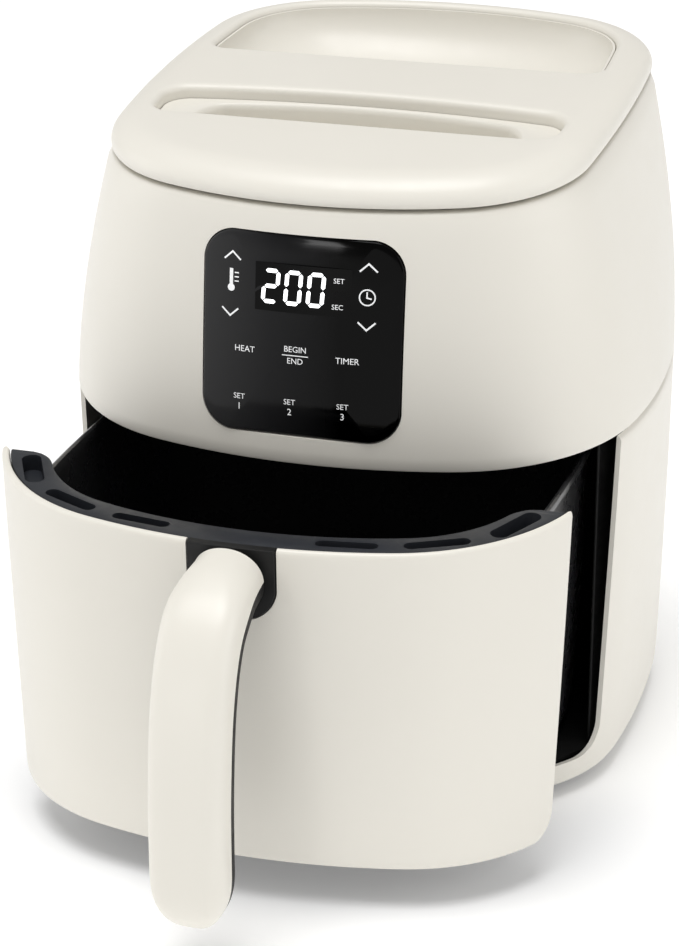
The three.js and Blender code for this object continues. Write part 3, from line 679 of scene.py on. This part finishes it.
def top_cover():
    hollow = cut(lid_block(WALL, WALL, -6.0), plain_band(WALL, *SLOT), plain_band(WALL, *RECESS))
    lid = lid_block(0.0, 0.0, 0.0)
    lid.name = "lid_cover"
    ease = 2.4
    return cut(lid, hollow, band_cutter(*SLOT, ease), band_cutter(*RECESS, ease))


def grip_liner():
    low, high = node_range("handle_grip_liner")
    y0, y1 = low[1] - BODY_Y, high[1] - BODY_Y
    z0, z1 = low[2], high[2]
    belly_depth, end_length = 7, 5
    belly = arc((0, 0), 1, math.pi, 2 * math.pi, 24) * [(y1 - y0) / 2, belly_depth]
    belly += [(y0 + y1) / 2, z0 + belly_depth]
    shoulders = [(y1, z1 - 1), (y1 - 1, z1), (y0 + 1, z1), (y0, z1 - 1)]
    section = resample(np.vstack([shoulders, belly]), 80)[::-1]
    middle = section.mean(axis=0)
    left_end = np.linspace(low[0], low[0] + end_length, 6)
    right_end = np.linspace(high[0] - end_length, high[0], 6)
    rings = []
    for x in (*left_end, *right_end):
        near = max(0.0, 1 - min(x - low[0], high[0] - x) / end_length)
        ring = middle + (section - middle) * (1 - 0.12 * near ** 2)
        rings.append(np.column_stack([np.full(len(ring), x), ring]))
    return loft("grip_liner", rings, BODY_Y)


SLOT_LEDGE = 4.6  # the hand space starts this far under the lid's top in the slot
RECESS_LEDGE = 2.0  # and this far in the recess behind the bar


def under_lid(outlines, name):
    """A solid through rings given as an outline and its depth under the lid's top."""
    rings = [
        lift(points, lambda y, down=down: lid_height(y) + LID_RISE - down)
        for points, down in outlines
    ]
    return loft(name, rings, BODY_Y)


def squeeze(points, width, front, back):
    """The same outline with its width scaled and its ends moved to new values of y."""
    low, high = points[:, 1].min(), points[:, 1].max()
    y = front + (points[:, 1] - low) * (back - front) / (high - low)
    return np.column_stack([points[:, 0] * width, y])


def recess_scoop():
    """A hollow that falls from the recess's edge and runs forward under the bar."""
    depth, overlap, back_slope = 22, 26, 34
    mouth = lid_band(-1.1, BAR_BACK - 3, None, 7)
    front, back = mouth[:, 1].min(), mouth[:, 1].max()
    outlines = [(mouth, -6.0)]
    for turn in np.linspace(0, 0.47 * math.pi, 16):
        sunk, inward = math.sin(turn), 1 - math.cos(turn)
        ring = squeeze(mouth, 1 - 0.5 * inward, front - overlap * sunk ** 2, back - back_slope * inward)
        outlines.append((ring, RECESS_LEDGE - 0.6 + depth * sunk))
    return under_lid(outlines[::-1], "recess_scoop")


def slot_pocket():
    """The deeper pocket in the middle of the slot, with a rounded mouth and a rounded floor."""
    wall_end, floor_depth, floor_corner = 12, 13, 6
    rows = [
        (-1.6, -8.0), (-1.6, SLOT_LEDGE - 0.1), (-1.0, SLOT_LEDGE + 0.3),
        (-0.4, SLOT_LEDGE + 1.0), (0, SLOT_LEDGE + 2.2),
    ]
    for turn in np.linspace(0, math.pi / 2 - 0.05, 10):
        rows.append((floor_corner * (1 - math.cos(turn)), wall_end + floor_depth * math.sin(turn)))
    slot = lid_band(-3.5, SLOT_FRONT, SLOT_BACK, 12)
    mouth = squeeze(slot, 0.85, SLOT_FRONT - 2, SLOT_BACK + SLOT_BOW - 2.4)
    front, back, half = mouth[:, 1].min(), mouth[:, 1].max(), mouth[:, 0].max()
    outlines = [
        (squeeze(mouth, 1 - inset / half, front + inset, back - inset), down)
        for inset, down in rows
    ]
    return under_lid(outlines[::-1], "slot_pocket")


def hand_bowl():
    """The moulding under the lid that fills both openings and is hollowed for the fingers."""
    fit, plug_depth = 0.35, 14
    area = outline(LID, LID_RIM + fit, 6)
    rings = [lift(area, node_range("handle_bowl")[0][2]), lift(area, lambda y: lid_height(y) - GAP)]
    body = loft("hand_bowl", rings, BODY_Y, across_caps)
    plugs = []
    for name, band, ledge in (("slot_plug", SLOT, SLOT_LEDGE), ("recess_plug", RECESS, RECESS_LEDGE)):
        opening = lid_band(-fit, *band)
        plugs.append(under_lid([(opening, plug_depth), (opening, ledge)], name))
    combine(body, "UNION", *plugs)
    low, high = node_range("handle_grip_liner")
    x = (low[0] - 1, high[0] + 1)
    y = (low[1] - BODY_Y - GAP, high[1] - BODY_Y + GAP)
    channel = box(x, y, (low[2] - 0.5, 260), BODY_Y)
    return cut(body, recess_scoop(), slot_pocket(), channel)


dress(top_cover(), "cream_plastic", "housing", "top_cover")
dress(grip_liner(), "cream_plastic", "housing", "handle_grip_liner")
dress(hand_bowl(), "cream_plastic", "housing", "handle_bowl")

# ---------- control panel

GLASS_PROUD = 0.8


def front_y(x, z, proud):
    """Where the body's front lies, seen at x and z, moved out by proud."""
    y = -SEAM["front"]
    for _ in range(4):
        upper = (z - seam_height(y)) / (lid_height(y) - seam_height(y))
        shape = blend(SEAM, LID, max(upper, 0.0) ** SHOULDER_BULGE)
        y = shape["centre"] - shape["front"] + shape["end"] - math.sqrt(shape["end"] ** 2 - x * x)
    return y - proud


def on_front(points, proud):
    return np.array([(x, front_y(x, z, proud), z) for x, z in points])


def control_glass():
    edge = [(0.0, -1.6), (0.0, 0.2), (0.12, 0.5), (0.4, 0.72), (0.9, GLASS_PROUD)]
    rings = [on_front(glass_outline(-inset), proud) for inset, proud in edge]
    outer = glass_outline(-0.9) - [0, GLASS_MIDDLE]
    for share in (0.95, 0.85, 0.7, 0.5, 0.3, 0.12):
        rings.append(on_front(outer * share + [0, GLASS_MIDDLE], GLASS_PROUD))
    rings = [ring[::-1] for ring in rings]
    return loft("glass_panel", rings, BODY_Y)


dress(control_glass(), "panel_gloss", "housing", "control_glass")

MARK_PROUD = GLASS_PROUD + 0.06
WINDOW_PROUD = GLASS_PROUD + 0.02


def mark(name, outlines, material=PRINT, proud=MARK_PROUD):
    """Flat marks laid on the glass. Each outline is a list of x, z measured from its middle."""
    points, faces = [], []
    for shape in outlines:
        start = len(points)
        points += [(x, front_y(x, z + GLASS_MIDDLE, proud), z + GLASS_MIDDLE) for x, z in shape]
        faces.append(list(range(start, start + len(shape))))
    thing = make(name, points, faces, BODY_Y)
    thing.data.materials.append(material)
    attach(thing, "housing")


def stroke(points, width):
    """A line of even width through the points, as one four-sided outline for each stretch."""
    bars = []
    for (x0, z0), (x1, z1) in zip(points, points[1:]):
        length = math.hypot(x1 - x0, z1 - z0)
        dx, dz = (x1 - x0) / length * width / 2, (z1 - z0) / length * width / 2
        bars.append([
            (x0 - dx + dz, z0 - dz - dx), (x1 + dx + dz, z1 + dz - dx),
            (x1 + dx - dz, z1 + dz + dx), (x0 - dx - dz, z0 - dz + dx),
        ])
    return bars


def circle_points(x, z, radius):
    angles = np.linspace(0, 2 * math.pi, 28)
    return [(x + radius * math.cos(angle), z + radius * math.sin(angle)) for angle in angles]


def chevron(x, z, up):
    return stroke([(x - 2.7, z - 1.2 * up), (x, z + 1.2 * up), (x + 2.7, z - 1.2 * up)], 0.55)


def strips(x, z, count):
    """A rectangle in narrow upright strips, so that it can follow the curve of the glass."""
    edges = np.linspace(*x, count + 1)
    return [[(a, z[0]), (b, z[0]), (b, z[1]), (a, z[1])] for a, b in zip(edges, edges[1:])]


SEGMENTS = {
    "a": [(-1, 2), (1, 2)], "b": [(1, 2), (1, 0)], "c": [(1, 0), (1, -2)], "d": [(-1, -2), (1, -2)],
    "e": [(-1, 0), (-1, -2)], "f": [(-1, 2), (-1, 0)], "g": [(-1, 0), (1, 0)],
}
DIGITS = {"2": "abged", "0": "abcdef"}


def segment(ends, middle, size, width):
    """One bar of a numeral, with its ends cut to points and the whole sloped a little."""
    (ax, az), (bx, bz) = [(x * size[0], z * size[1]) for x, z in ends]
    length = math.hypot(bx - ax, bz - az)
    ux, uz = (bx - ax) / length, (bz - az) / length
    nx, nz = -uz * width / 2, ux * width / 2
    short = width / 2 + 0.22
    hexagon = [
        (ax + ux * 0.25, az + uz * 0.25), (ax + ux * short - nx, az + uz * short - nz),
        (bx - ux * short - nx, bz - uz * short - nz), (bx - ux * 0.25, bz - uz * 0.25),
        (bx - ux * short + nx, bz - uz * short + nz), (ax + ux * short + nx, az + uz * short + nz),
    ]
    slope = 0.07
    return [(x + middle[0] + slope * z, z + middle[1]) for x, z in hexagon]


def numerals(text, left, z, size, pitch, width):
    shapes = []
    for place, digit in enumerate(text):
        for key in DIGITS[digit]:
            shapes.append(segment(SEGMENTS[key], (left + pitch * place, z), size, width))
    return shapes


def label(text, x, z, height):
    """A plain word laid on the glass."""
    curve = bpy.data.curves.new(f"word_{text}", "FONT")
    curve.body = text
    curve.size = height * 1.38
    curve.align_x = "CENTER"
    curve.align_y = "CENTER"
    curve.resolution_u = 3
    letters = put_in_scene(f"word_{text}", curve)
    graph = bpy.context.evaluated_depsgraph_get()
    mesh = bpy.data.meshes.new_from_object(letters.evaluated_get(graph))
    bpy.data.objects.remove(letters)
    flat = [(v.co.x + x, v.co.y + z) for v in mesh.vertices]
    outlines = [[flat[i] for i in polygon.vertices] for polygon in mesh.polygons]
    mark(f"word_{text.replace('/', '_')}_{round(x)}_{round(z)}".replace("-", "m"), outlines)


CHEVRONS = [(-23.6, 25.3, 1), (-24.2, 6.4, -1), (22.6, 25.2, 1), (22.4, 5.8, -1)]
mark("arrows", [bar for x, z, up in CHEVRONS for bar in chevron(x, z, up)])
mark("thermometer", [circle_points(-23.95, 14.6, 1.25)] + stroke([(-23.95, 15.2), (-23.95, 20.3)], 1.2)
     + [bar for z in (19.6, 18.2, 16.8) for bar in stroke([(-22.6, z), (-21.5, z)], 0.4)])
mark("clock", stroke(circle_points(22.4, 15.4, 2.55), 0.42)
     + stroke([(22.3, 17.0), (22.3, 15.3), (23.6, 15.0)], 0.45))
mark("display_window", strips((-15.4, 17.2), (8.4, 24.2), 16), WINDOW, WINDOW_PROUD)
mark("display_digits", numerals("200", -10.0, 16.6, (2.35, 2.55), 7.7, 1.35), DISPLAY)
label("SET", 13.0, 20.1, 1.7)
label("SEC", 12.7, 11.5, 1.7)
label("HEAT", -18.8, -5.4, 2.1)
label("BEGIN", -1.2, -3.8, 2.0)
mark("rule", stroke([(-5.5, -5.8), (3.1, -5.8)], 0.3))
label("END", -1.2, -7.7, 2.0)
label("TIMER", 16.4, -6.2, 2.1)
for number, x in enumerate((-20.6, -2.9, 15.1), start=1):
    label("SET", x, -21.7, 1.9)
    label(str(number), x, -25.1, 2.3)

# ---------- rear grille


def rear_grille():
    """Slatted insert in the back of the upper housing."""
    middle = node_middle("rear_vent_grille")[2]
    pitch = 6
    insert = wall_band("grille_body", 1.02, 1.98, 24, 0.0, BODY_Y)
    combine(insert, "INTERSECT", front_prism(vent_outline(0), (60, 120), BODY_Y))
    gaps = []
    for row in (-1.5, -0.5, 0.5, 1.5):
        gap = rounded_rectangle(62, 2.4, 1.15, 4) + [0, middle + row * pitch]
        gaps.append(front_prism(gap, (60, 120), BODY_Y))
    cut(insert, *gaps)
    insert.name = "rear_grille"
    return insert


dress(rear_grille(), "black_plastic", "housing", "rear_vent_grille")

# ---------- drawer front


def open_curve(shape, inset, end_y, side=-1, count=90):
    """The part of an outline in front of end_y (side -1) or behind it (side 1), left to right."""
    ring = outline(shape, inset, 8)
    right = ring[(ring[:, 0] >= 0) & ((ring[:, 1] - end_y) * side > 0.01)]
    right = right[np.argsort(right[:, 1] * -side)]
    right = np.vstack([right, [(reach(ring, end_y), end_y)]])
    left = right[::-1] * [-1, 1]
    return resample(np.vstack([left[:-1], right]), count, closed=False)


def half_round(start, end, outward, steps):
    """Points on a half circle from start to end, bulging outward."""
    middle = (start + end) / 2
    across = (start - end) / 2
    radius = np.linalg.norm(across)
    points = []
    for angle in np.linspace(0, math.pi, steps + 2)[1:-1]:
        bulge = np.array(outward) * radius * math.sin(angle)
        points.append(middle + across * math.cos(angle) + bulge)
    return np.array(points)


def drawer_front():
    """The curved front wall, with every edge rounded and its lower corners cut back."""
    top = -1.0
    radius = MOUTH_CORNER - DRAWER_CLEARANCE
    span = seam_height(-90) - BASE_Z
    first = (FRONT_LOW - BASE_Z) / span
    rows = [
        (first, 1.15, 0.0), (first, 0.7, 0.12), (first, 0.25, 0.5), (first, 0.0, 1.2),
        *[(level, 0.0, 0.0) for level in np.linspace(first + 0.02, first + 0.1, 8)],
        *[(level, 0.0, 0.0) for level in np.linspace(first + 0.12, 0.97, 12)],
        (1, 0.0, top - 1.2), (1, 0.25, top - 0.5), (1, 0.7, top - 0.12), (1, 1.15, top),
    ]
    rings = []
    for level, inset, rise in rows:
        shape = blend(BASE, SEAM, level)
        above = (level - first) * span + rise
        cutback = radius - math.sqrt(max(radius ** 2 - max(radius - above, 0.0) ** 2, 0.0))
        end_y = DRAWER_EDGE - 1.25 + inset - cutback
        outer = open_curve(shape, inset, end_y)
        inner = open_curve(shape, WALL - inset, end_y)
        rings.append(lift(thin_loop(outer, inner, 1), body_height(level, rise)))
    front = loft("front_panel", rings, DRAWER_Y, zip_caps)
    return cut(front, front_prism(bracket_outline(GAP), (-150, -60), DRAWER_Y))


END_STEPS = 5


def zip_caps(count, rings):
    """Closes both ends of a stack of thin loops by joining each loop's outer and inner sides."""
    faces = []
    top = (rings - 1) * count
    first = -(END_STEPS // 2) - 1
    for i in range(count // 2 - 1):
        near, far = first + i, first - 1 - i
        strip = [k % count for k in (near, near + 1, far - 1, far)]
        faces.append([top + k for k in strip])
        faces.append(strip[::-1])
    return faces


def thin_loop(outer, inner, ahead):
    """Joins two open curves into one loop with rounded ends that bulge ahead along y."""
    right = half_round(outer[-1], inner[-1], (0, ahead), END_STEPS)
    left = half_round(inner[0], outer[0], (0, ahead), END_STEPS)
    return np.vstack([outer, right, inner[::-1], left])


def bracket_outline(grow):
    """The tab that carries the handle, seen from the front and running on past its top."""
    low, high = node_range("handle_bracket")
    width = high[0] - low[0] + 2 * grow
    z0, z1 = low[2] - grow, high[2] + 20
    return rounded_rectangle(width, z1 - z0, 12 + grow, 10) + [0, (z0 + z1) / 2]


dress(drawer_front(), "cream_plastic", "drawer", "drawer_front")

# ---------- pan


def pan():
    """A coated tub: up the outside, over the rolled rim and down the inside."""
    low, high = node_range("pan")
    rim = high[2] - low[2]
    outside = [
        (40, 0), (25, 0), (13, 0), (9, 0.5), (6.4, 1.7), (4.8, 3.8), (4.2, 7), (2.4, 40),
        (0.3, rim - 4),
    ]
    edge = [
        (-0.6, rim - 3.4), (-1.1, rim - 2.6), (-1.2, rim - 1.4), (-0.8, rim - 0.4),
        (0.0, rim), (0.9, rim - 0.3), (1.4, rim - 1.2),
    ]
    inside = [
        (1.7, rim - 4), (3.8, 40), (5.6, 8.5), (6.4, 5), (8, 2.7), (10.4, 1.6), (14, 1.4),
        (25, 1.4), (40, 1.4),
    ]
    rings = [lift(outline(PAN, inset), low[2] + up) for inset, up in outside + edge + inside]
    return loft("pan_tub", rings, DRAWER_Y, across_caps)


dress(pan(), "nonstick", "drawer", "pan")

# ---------- collar and handle bracket

# The air slots stop 0.6 mm short of the collar's underside: their dark floors stand in for the shade
# seen through the real slots, which go right through.
AIR_SLOT_DEPTH = 5.4
COLLAR_CORNER = 6.0
COLLAR_DROP = 1.8  # how far the collar's top lies under the seam
AIR_SLOTS = [
    # x, y, length, width, turn
    (34, -81.5, 20, 4.6, 0.12),
    (61, -74, 21, 5, 0.42),
    (81.5, -56, 21, 6.5, 1.1),
]


def collar():
    """The dark collar between the drawer front and the pan, with its edges rounded over."""
    outer = open_curve(SEAM, WALL + GAP, DRAWER_EDGE, count=260)
    inner = open_curve(PAN, 2, DRAWER_EDGE, count=260)
    thickness = AIR_SLOT_DEPTH + 0.6
    rings = []
    for start, end in zip(outer, inner):
        width = np.linalg.norm(end - start)
        direction = (end - start) / width
        near_end = max(COLLAR_CORNER - (DRAWER_EDGE - end[1]), 0.0)
        width -= COLLAR_CORNER - math.sqrt(COLLAR_CORNER ** 2 - near_end ** 2)
        section = [
            (0, -thickness), (0, -0.7), (0.2, -0.2), (0.7, 0),
            (width - 0.7, 0), (width - 0.2, -0.2), (width, -0.7), (width, -thickness),
        ]
        top = seam_height(start[1]) - COLLAR_DROP
        rings.append(np.array([(*(start + direction * across), top + up) for across, up in section]))
    ring = loft("collar", rings, DRAWER_Y)
    slots = []
    for x, y, length, width, turn in AIR_SLOTS:
        for side in (-1, 1):
            shape = rounded_rectangle(length, width, width / 2 - 0.05)
            cosine, sine = math.cos(turn * side), math.sin(turn * side)
            shape = shape @ np.array([[cosine, sine], [-sine, cosine]]) + [x * side, y]
            # a dark slot floor standing in for the shade seen through a real slot
            floor = lift(shape, lambda y: seam_height(y) - COLLAR_DROP - AIR_SLOT_DEPTH)
            slots.append(loft("slot", [floor, lift(shape, 150)], DRAWER_Y))
    return cut(ring, *slots)


def handle_bracket():
    """The black tab in the drawer front that the handle grows out of."""
    tab = front_prism(bracket_outline(0), (-120, -60), DRAWER_Y)
    band = wall_band("band", 0.6, 1.02, 8, -0.6, DRAWER_Y)
    area = outline(SEAM, -20)
    above = loft("above", [
        lift(area, lambda y: seam_height(y) - 1.3), lift(area, lambda y: seam_height(y) + 40),
    ], DRAWER_Y, across_caps)
    combine(tab, "INTERSECT", band)
    cut(tab, above)
    tab.name = "handle_tab"
    return ease_edges(tab, 0.6)


dress(collar(), "trim_plastic", "drawer", "trim_ring")
dress(handle_bracket(), "black_plastic", "drawer", "handle_bracket")

# ---------- drawer handle

HANDLE_SPINE = [  # y, z from the root to the lower end
    (-95, 117), (-108, 114), (-119.5, 106), (-127, 88), (-130.5, 62), (-131, 36), (-130, 14),
]
HANDLE_END = 0.83  # the share of the handle's length where its end starts to narrow
HANDLE_KNUCKLE = 0.2  # and where its root has reached the full width and the flat face starts


def smooth_path(points, per_span=24):
    """A Catmull-Rom curve through the points."""
    points = np.array(points, float)
    padded = np.vstack([2 * points[0] - points[1], points, 2 * points[-1] - points[-2]])
    path = []
    for a, b, c, d in zip(padded, padded[1:], padded[2:], padded[3:]):
        for t in np.linspace(0, 1, per_span, endpoint=False):
            path.append(0.5 * (2 * b + (c - a) * t + (2 * a - 5 * b + 4 * c - d) * t ** 2
                               + (3 * b - a - 3 * c + d) * t ** 3))
    path.append(points[-1])
    return resample(np.array(path), 400, closed=False)


def along_path(path, share):
    """The value of each column of the path at a share of its length."""
    index = share * (len(path) - 1)
    return np.array([np.interp(index, range(len(path)), column) for column in path.T])


def handle_half(name, thickness, away, roundness, root_depth=0.0):
    """One side of the handle: a half section carried along the spine to a round end.

    The section lies away from the spine. It is an ellipse at a roundness of 1 and has a flatter
    face at less. Its root is nearly an ellipse, and deeper by the share root_depth.
    """
    root_narrowing, root_roundness, end_bluntness = 0.08, 0.95, 2.4
    path = smooth_path(HANDLE_SPINE)
    tangents = np.gradient(path, axis=0)
    tangents /= np.linalg.norm(tangents, axis=1)[:, None]
    turns = np.linspace(0.04, math.pi / 2 - 0.04, 24)
    stations = np.concatenate([
        np.linspace(0, HANDLE_END, 60),
        HANDLE_END + (1 - HANDLE_END) * np.sin(turns),
    ])
    rings = []
    for share in stations:
        place = along_path(path, share)
        tangent = along_path(tangents, share)
        outward = np.array([tangent[1], -tangent[0]])
        end = max(0.0, (share - HANDLE_END) / (1 - HANDLE_END))
        taper = math.sqrt(1 - end ** end_bluntness)
        root = 0.5 + 0.5 * math.cos(math.pi * min(share / HANDLE_KNUCKLE, 1.0))
        half_width = HANDLE_WIDTH / 2 * (1 - root_narrowing * root) * taper
        power = roundness + (root_roundness - roundness) * root
        depth = thickness * taper * (1 + root_depth * root)
        ring = []
        for angle in np.linspace(0, math.pi, 41):
            across = math.copysign(abs(math.cos(angle)) ** power, math.cos(angle)) * half_width
            out = math.sin(angle) ** power * depth + away
            y, z = place + outward * out
            ring.append((across, y, z))
        rings.append(np.array(ring))
    if thickness < 0:
        rings = [ring[::-1] for ring in rings]
    return loft(name, [ring[::-1] for ring in rings[::-1]], DRAWER_Y, smooth=50)


cover = handle_half("handle_outer", 11, 0.2, 0.5)
core = handle_half("handle_inner", -5, -0.2, 0.4, root_depth=1.4)
dress(cover, "cream_plastic", "drawer", "handle_cover")
dress(core, "black_plastic", "drawer", "handle_core")

# ---------- cavity walls and crisper


def cavity_wall():
    """The sheet bent round three sides of the drawer's space, open to the front."""
    low, high = node_range("cavity_wall")
    inset, sheet = WALL + 1.4, 1.2
    edge = DRAWER_EDGE + 3.6
    outer = open_curve(BASE, inset, edge, side=1)[::-1]
    inner = open_curve(BASE, inset + sheet, edge, side=1)[::-1]
    loop = thin_loop(outer, inner, -1)
    rings = [lift(loop, z) for z in (low[2], low[2] + 0.3, high[2] - 0.3, high[2])]
    return loft("cavity_sheet", rings, BODY_Y, zip_caps)


def turned(name, profile, x, y, offset_y, steps=48):
    """A profile of radius and height, from bottom to top, turned about the upright at x, y."""
    circle = arc((0, 0), 1, 0, 2 * math.pi, steps)
    rings = [lift(circle * radius + [x, y], z) for radius, z in profile]
    return loft(name, rings, offset_y)


def crisper_plate():
    low, high = node_range("crisper_plate")
    bottom, top = low[2], high[2]
    profile = [
        (8.5, bottom), (8.1, bottom + 0.2), (8, bottom + 0.5),
        (8, top - 0.5), (8.1, top - 0.2), (8.5, top),
    ]
    rings = [lift(outline(PAN, inset, 4), z) for inset, z in profile]
    plate = loft("crisper_sheet", rings, DRAWER_Y, across_caps)
    holes = []
    for row in range(-2, 3):
        for column in range(-1, 2):
            if row or column:
                shape = rounded_rectangle(26, 6, 2.95, 6) + [column * 38, row * 22 + PAN["centre"]]
                holes.append(loft("hole", [lift(shape, z) for z in (0, 60)], DRAWER_Y))
    return ease_edges(cut(plate, *holes), 0.3, segments=2)


def foot(corner):
    """A rubber foot with a hole for its screw."""
    low, high = node_range(f"foot_{corner}")
    radius, top = (high[0] - low[0]) / 2, high[2]
    x, y = node_middle(f"foot_{corner}")[:2]
    return turned(f"foot_pad_{corner}", [
        (3.6, 1.2), (3.6, 0.2), (4.0, 0), (radius - 1.2, 0), (radius - 0.4, 0.3), (radius, 1.0),
        (radius, top - 0.6), (radius - 0.3, top - 0.1), (radius - 0.8, top), (2.1, top),
    ], x, y, 0)


def bumper(corner):
    """A rubber bumper with a groove that grips the crisper plate."""
    low, high = node_range(f"crisper_bumper_{corner}")
    bottom, top = low[2], high[2]
    x, y = node_middle(f"crisper_bumper_{corner}")[:2]
    return turned(f"bumper_{corner}", [
        (2.8, bottom), (3.4, bottom + 0.3), (3.8, bottom + 1), (4.4, bottom + 7.4), (4.2, bottom + 7.8),
        (2.3, bottom + 7.8), (2.3, bottom + 9.8), (3.6, bottom + 9.8), (3.5, bottom + 10.4),
        (2.9, top - 0.4), (2.2, top),
    ], x, y, 0, steps=32)


def crisper_knob():
    low, high = node_range("crisper_knob")
    bottom, top = low[2], high[2]
    return turned("crisper_lifter", [
        (3.0, bottom), (3.4, bottom + 0.4), (3.4, bottom + 1.7), (1.9, bottom + 1.7),
        (1.9, bottom + 3.9), (3.4, bottom + 3.9), (3.0, bottom + 4.6), (3.0, top - 5.6),
        (3.6, top - 4.4), (6.4, top - 3.2), (7.0, top - 2.6), (7.0, top - 1.4),
        (6.5, top - 0.7), (5.2, top - 0.3), (2.6, top - 0.05), (0.6, top),
    ], 0, PAN["centre"], DRAWER_Y)


dress(cavity_wall(), "black_plastic", "housing", "cavity_wall")
dress(crisper_plate(), "nonstick", "crisper", "crisper_plate")
for corner in ("front_left", "front_right", "rear_left", "rear_right"):
    dress(foot(corner), "rubber", "housing", f"foot_{corner}")
    dress(bumper(corner), "rubber", "crisper", f"crisper_bumper_{corner}")
dress(crisper_knob(), "black_plastic", "crisper", "crisper_knob")

# ---------- stage, light and camera


def aim(thing, place, target):
    thing.location = place
    thing.rotation_euler = (Vector(target) - Vector(place)).to_track_quat("-Z", "Y").to_euler()


def direction(azimuth, elevation):
    """Towards a place so many degrees to the right of the front and above the floor."""
    turn, rise = math.radians(azimuth), math.radians(elevation)
    return Vector((math.sin(turn) * math.cos(rise), -math.cos(turn) * math.cos(rise), math.sin(rise)))


def area_light(name, place, target, size, power, shine=1.0):
    lamp = bpy.data.lights.new(name, "AREA")
    lamp.shape = "RECTANGLE"
    lamp.size, lamp.size_y = size
    lamp.energy = power
    lamp.specular_factor = shine
    aim(put_in_scene(name, lamp), place, target)


def sun(elevation, azimuth, softness, strength):
    """Light from a direction; strength is what it adds to a white surface that faces it."""
    lamp = bpy.data.lights.new("sun", "SUN")
    lamp.angle = math.radians(softness)
    lamp.energy = strength * math.pi
    aim(put_in_scene("sun", lamp), direction(azimuth, elevation), (0, 0, 0))


def stage():
    far = 12000
    corners = [(-far, -far, 0), (far, -far, 0), (far, far, 0), (-far, far, 0)]
    floor = make("floor", corners, [(0, 1, 2, 3)], 0)
    paint = Finish("floor_white", 0.8, Specular_IOR_Level=0.2, Emission_Strength=0.18)
    paint.shader.inputs["Emission Color"].default_value = (1, 1, 1, 1)
    paint.vary("Base Color", paint.noise(3), (0.3, 0.93), (0.7, 0.95))
    floor.data.materials.append(paint.material)
    world = bpy.data.worlds.new("studio")
    world.use_nodes = True
    sky = world.node_tree.nodes["Background"]
    sky.inputs["Color"].default_value = (1.0, 0.99, 0.975, 1)
    sky.inputs["Strength"].default_value = 0.38
    bpy.context.scene.world = world
    sun(80, -20, 36, 0.6)
    area_light("key", (-0.42, -1.7, 0.28), (0, -0.1, 0.1), (0.16, 0.16), 1.0, shine=0.0)
    area_light("left", (-1.5, -0.3, 0.6), (0, 0, 0.1), (1.0, 1.0), 2.9)
    area_light("right", (1.5, -0.1, 0.6), (0, 0, 0.1), (1.0, 1.0), 3.8)


def camera():
    distance = 1.0397
    target = Vector((-12.4 * MM, (-7.75 + BODY_Y) * MM, 92.0 * MM))
    lens = bpy.data.cameras.new("camera")
    lens.lens = 109.25
    lens.sensor_width = 36
    lens.clip_start = 0.05
    thing = put_in_scene("camera", lens)
    aim(thing, target + direction(17.29, 21.54) * distance, target)
    bpy.context.scene.camera = thing


stage()
camera()
bpy.context.scene.view_settings.view_transform = "Standard"
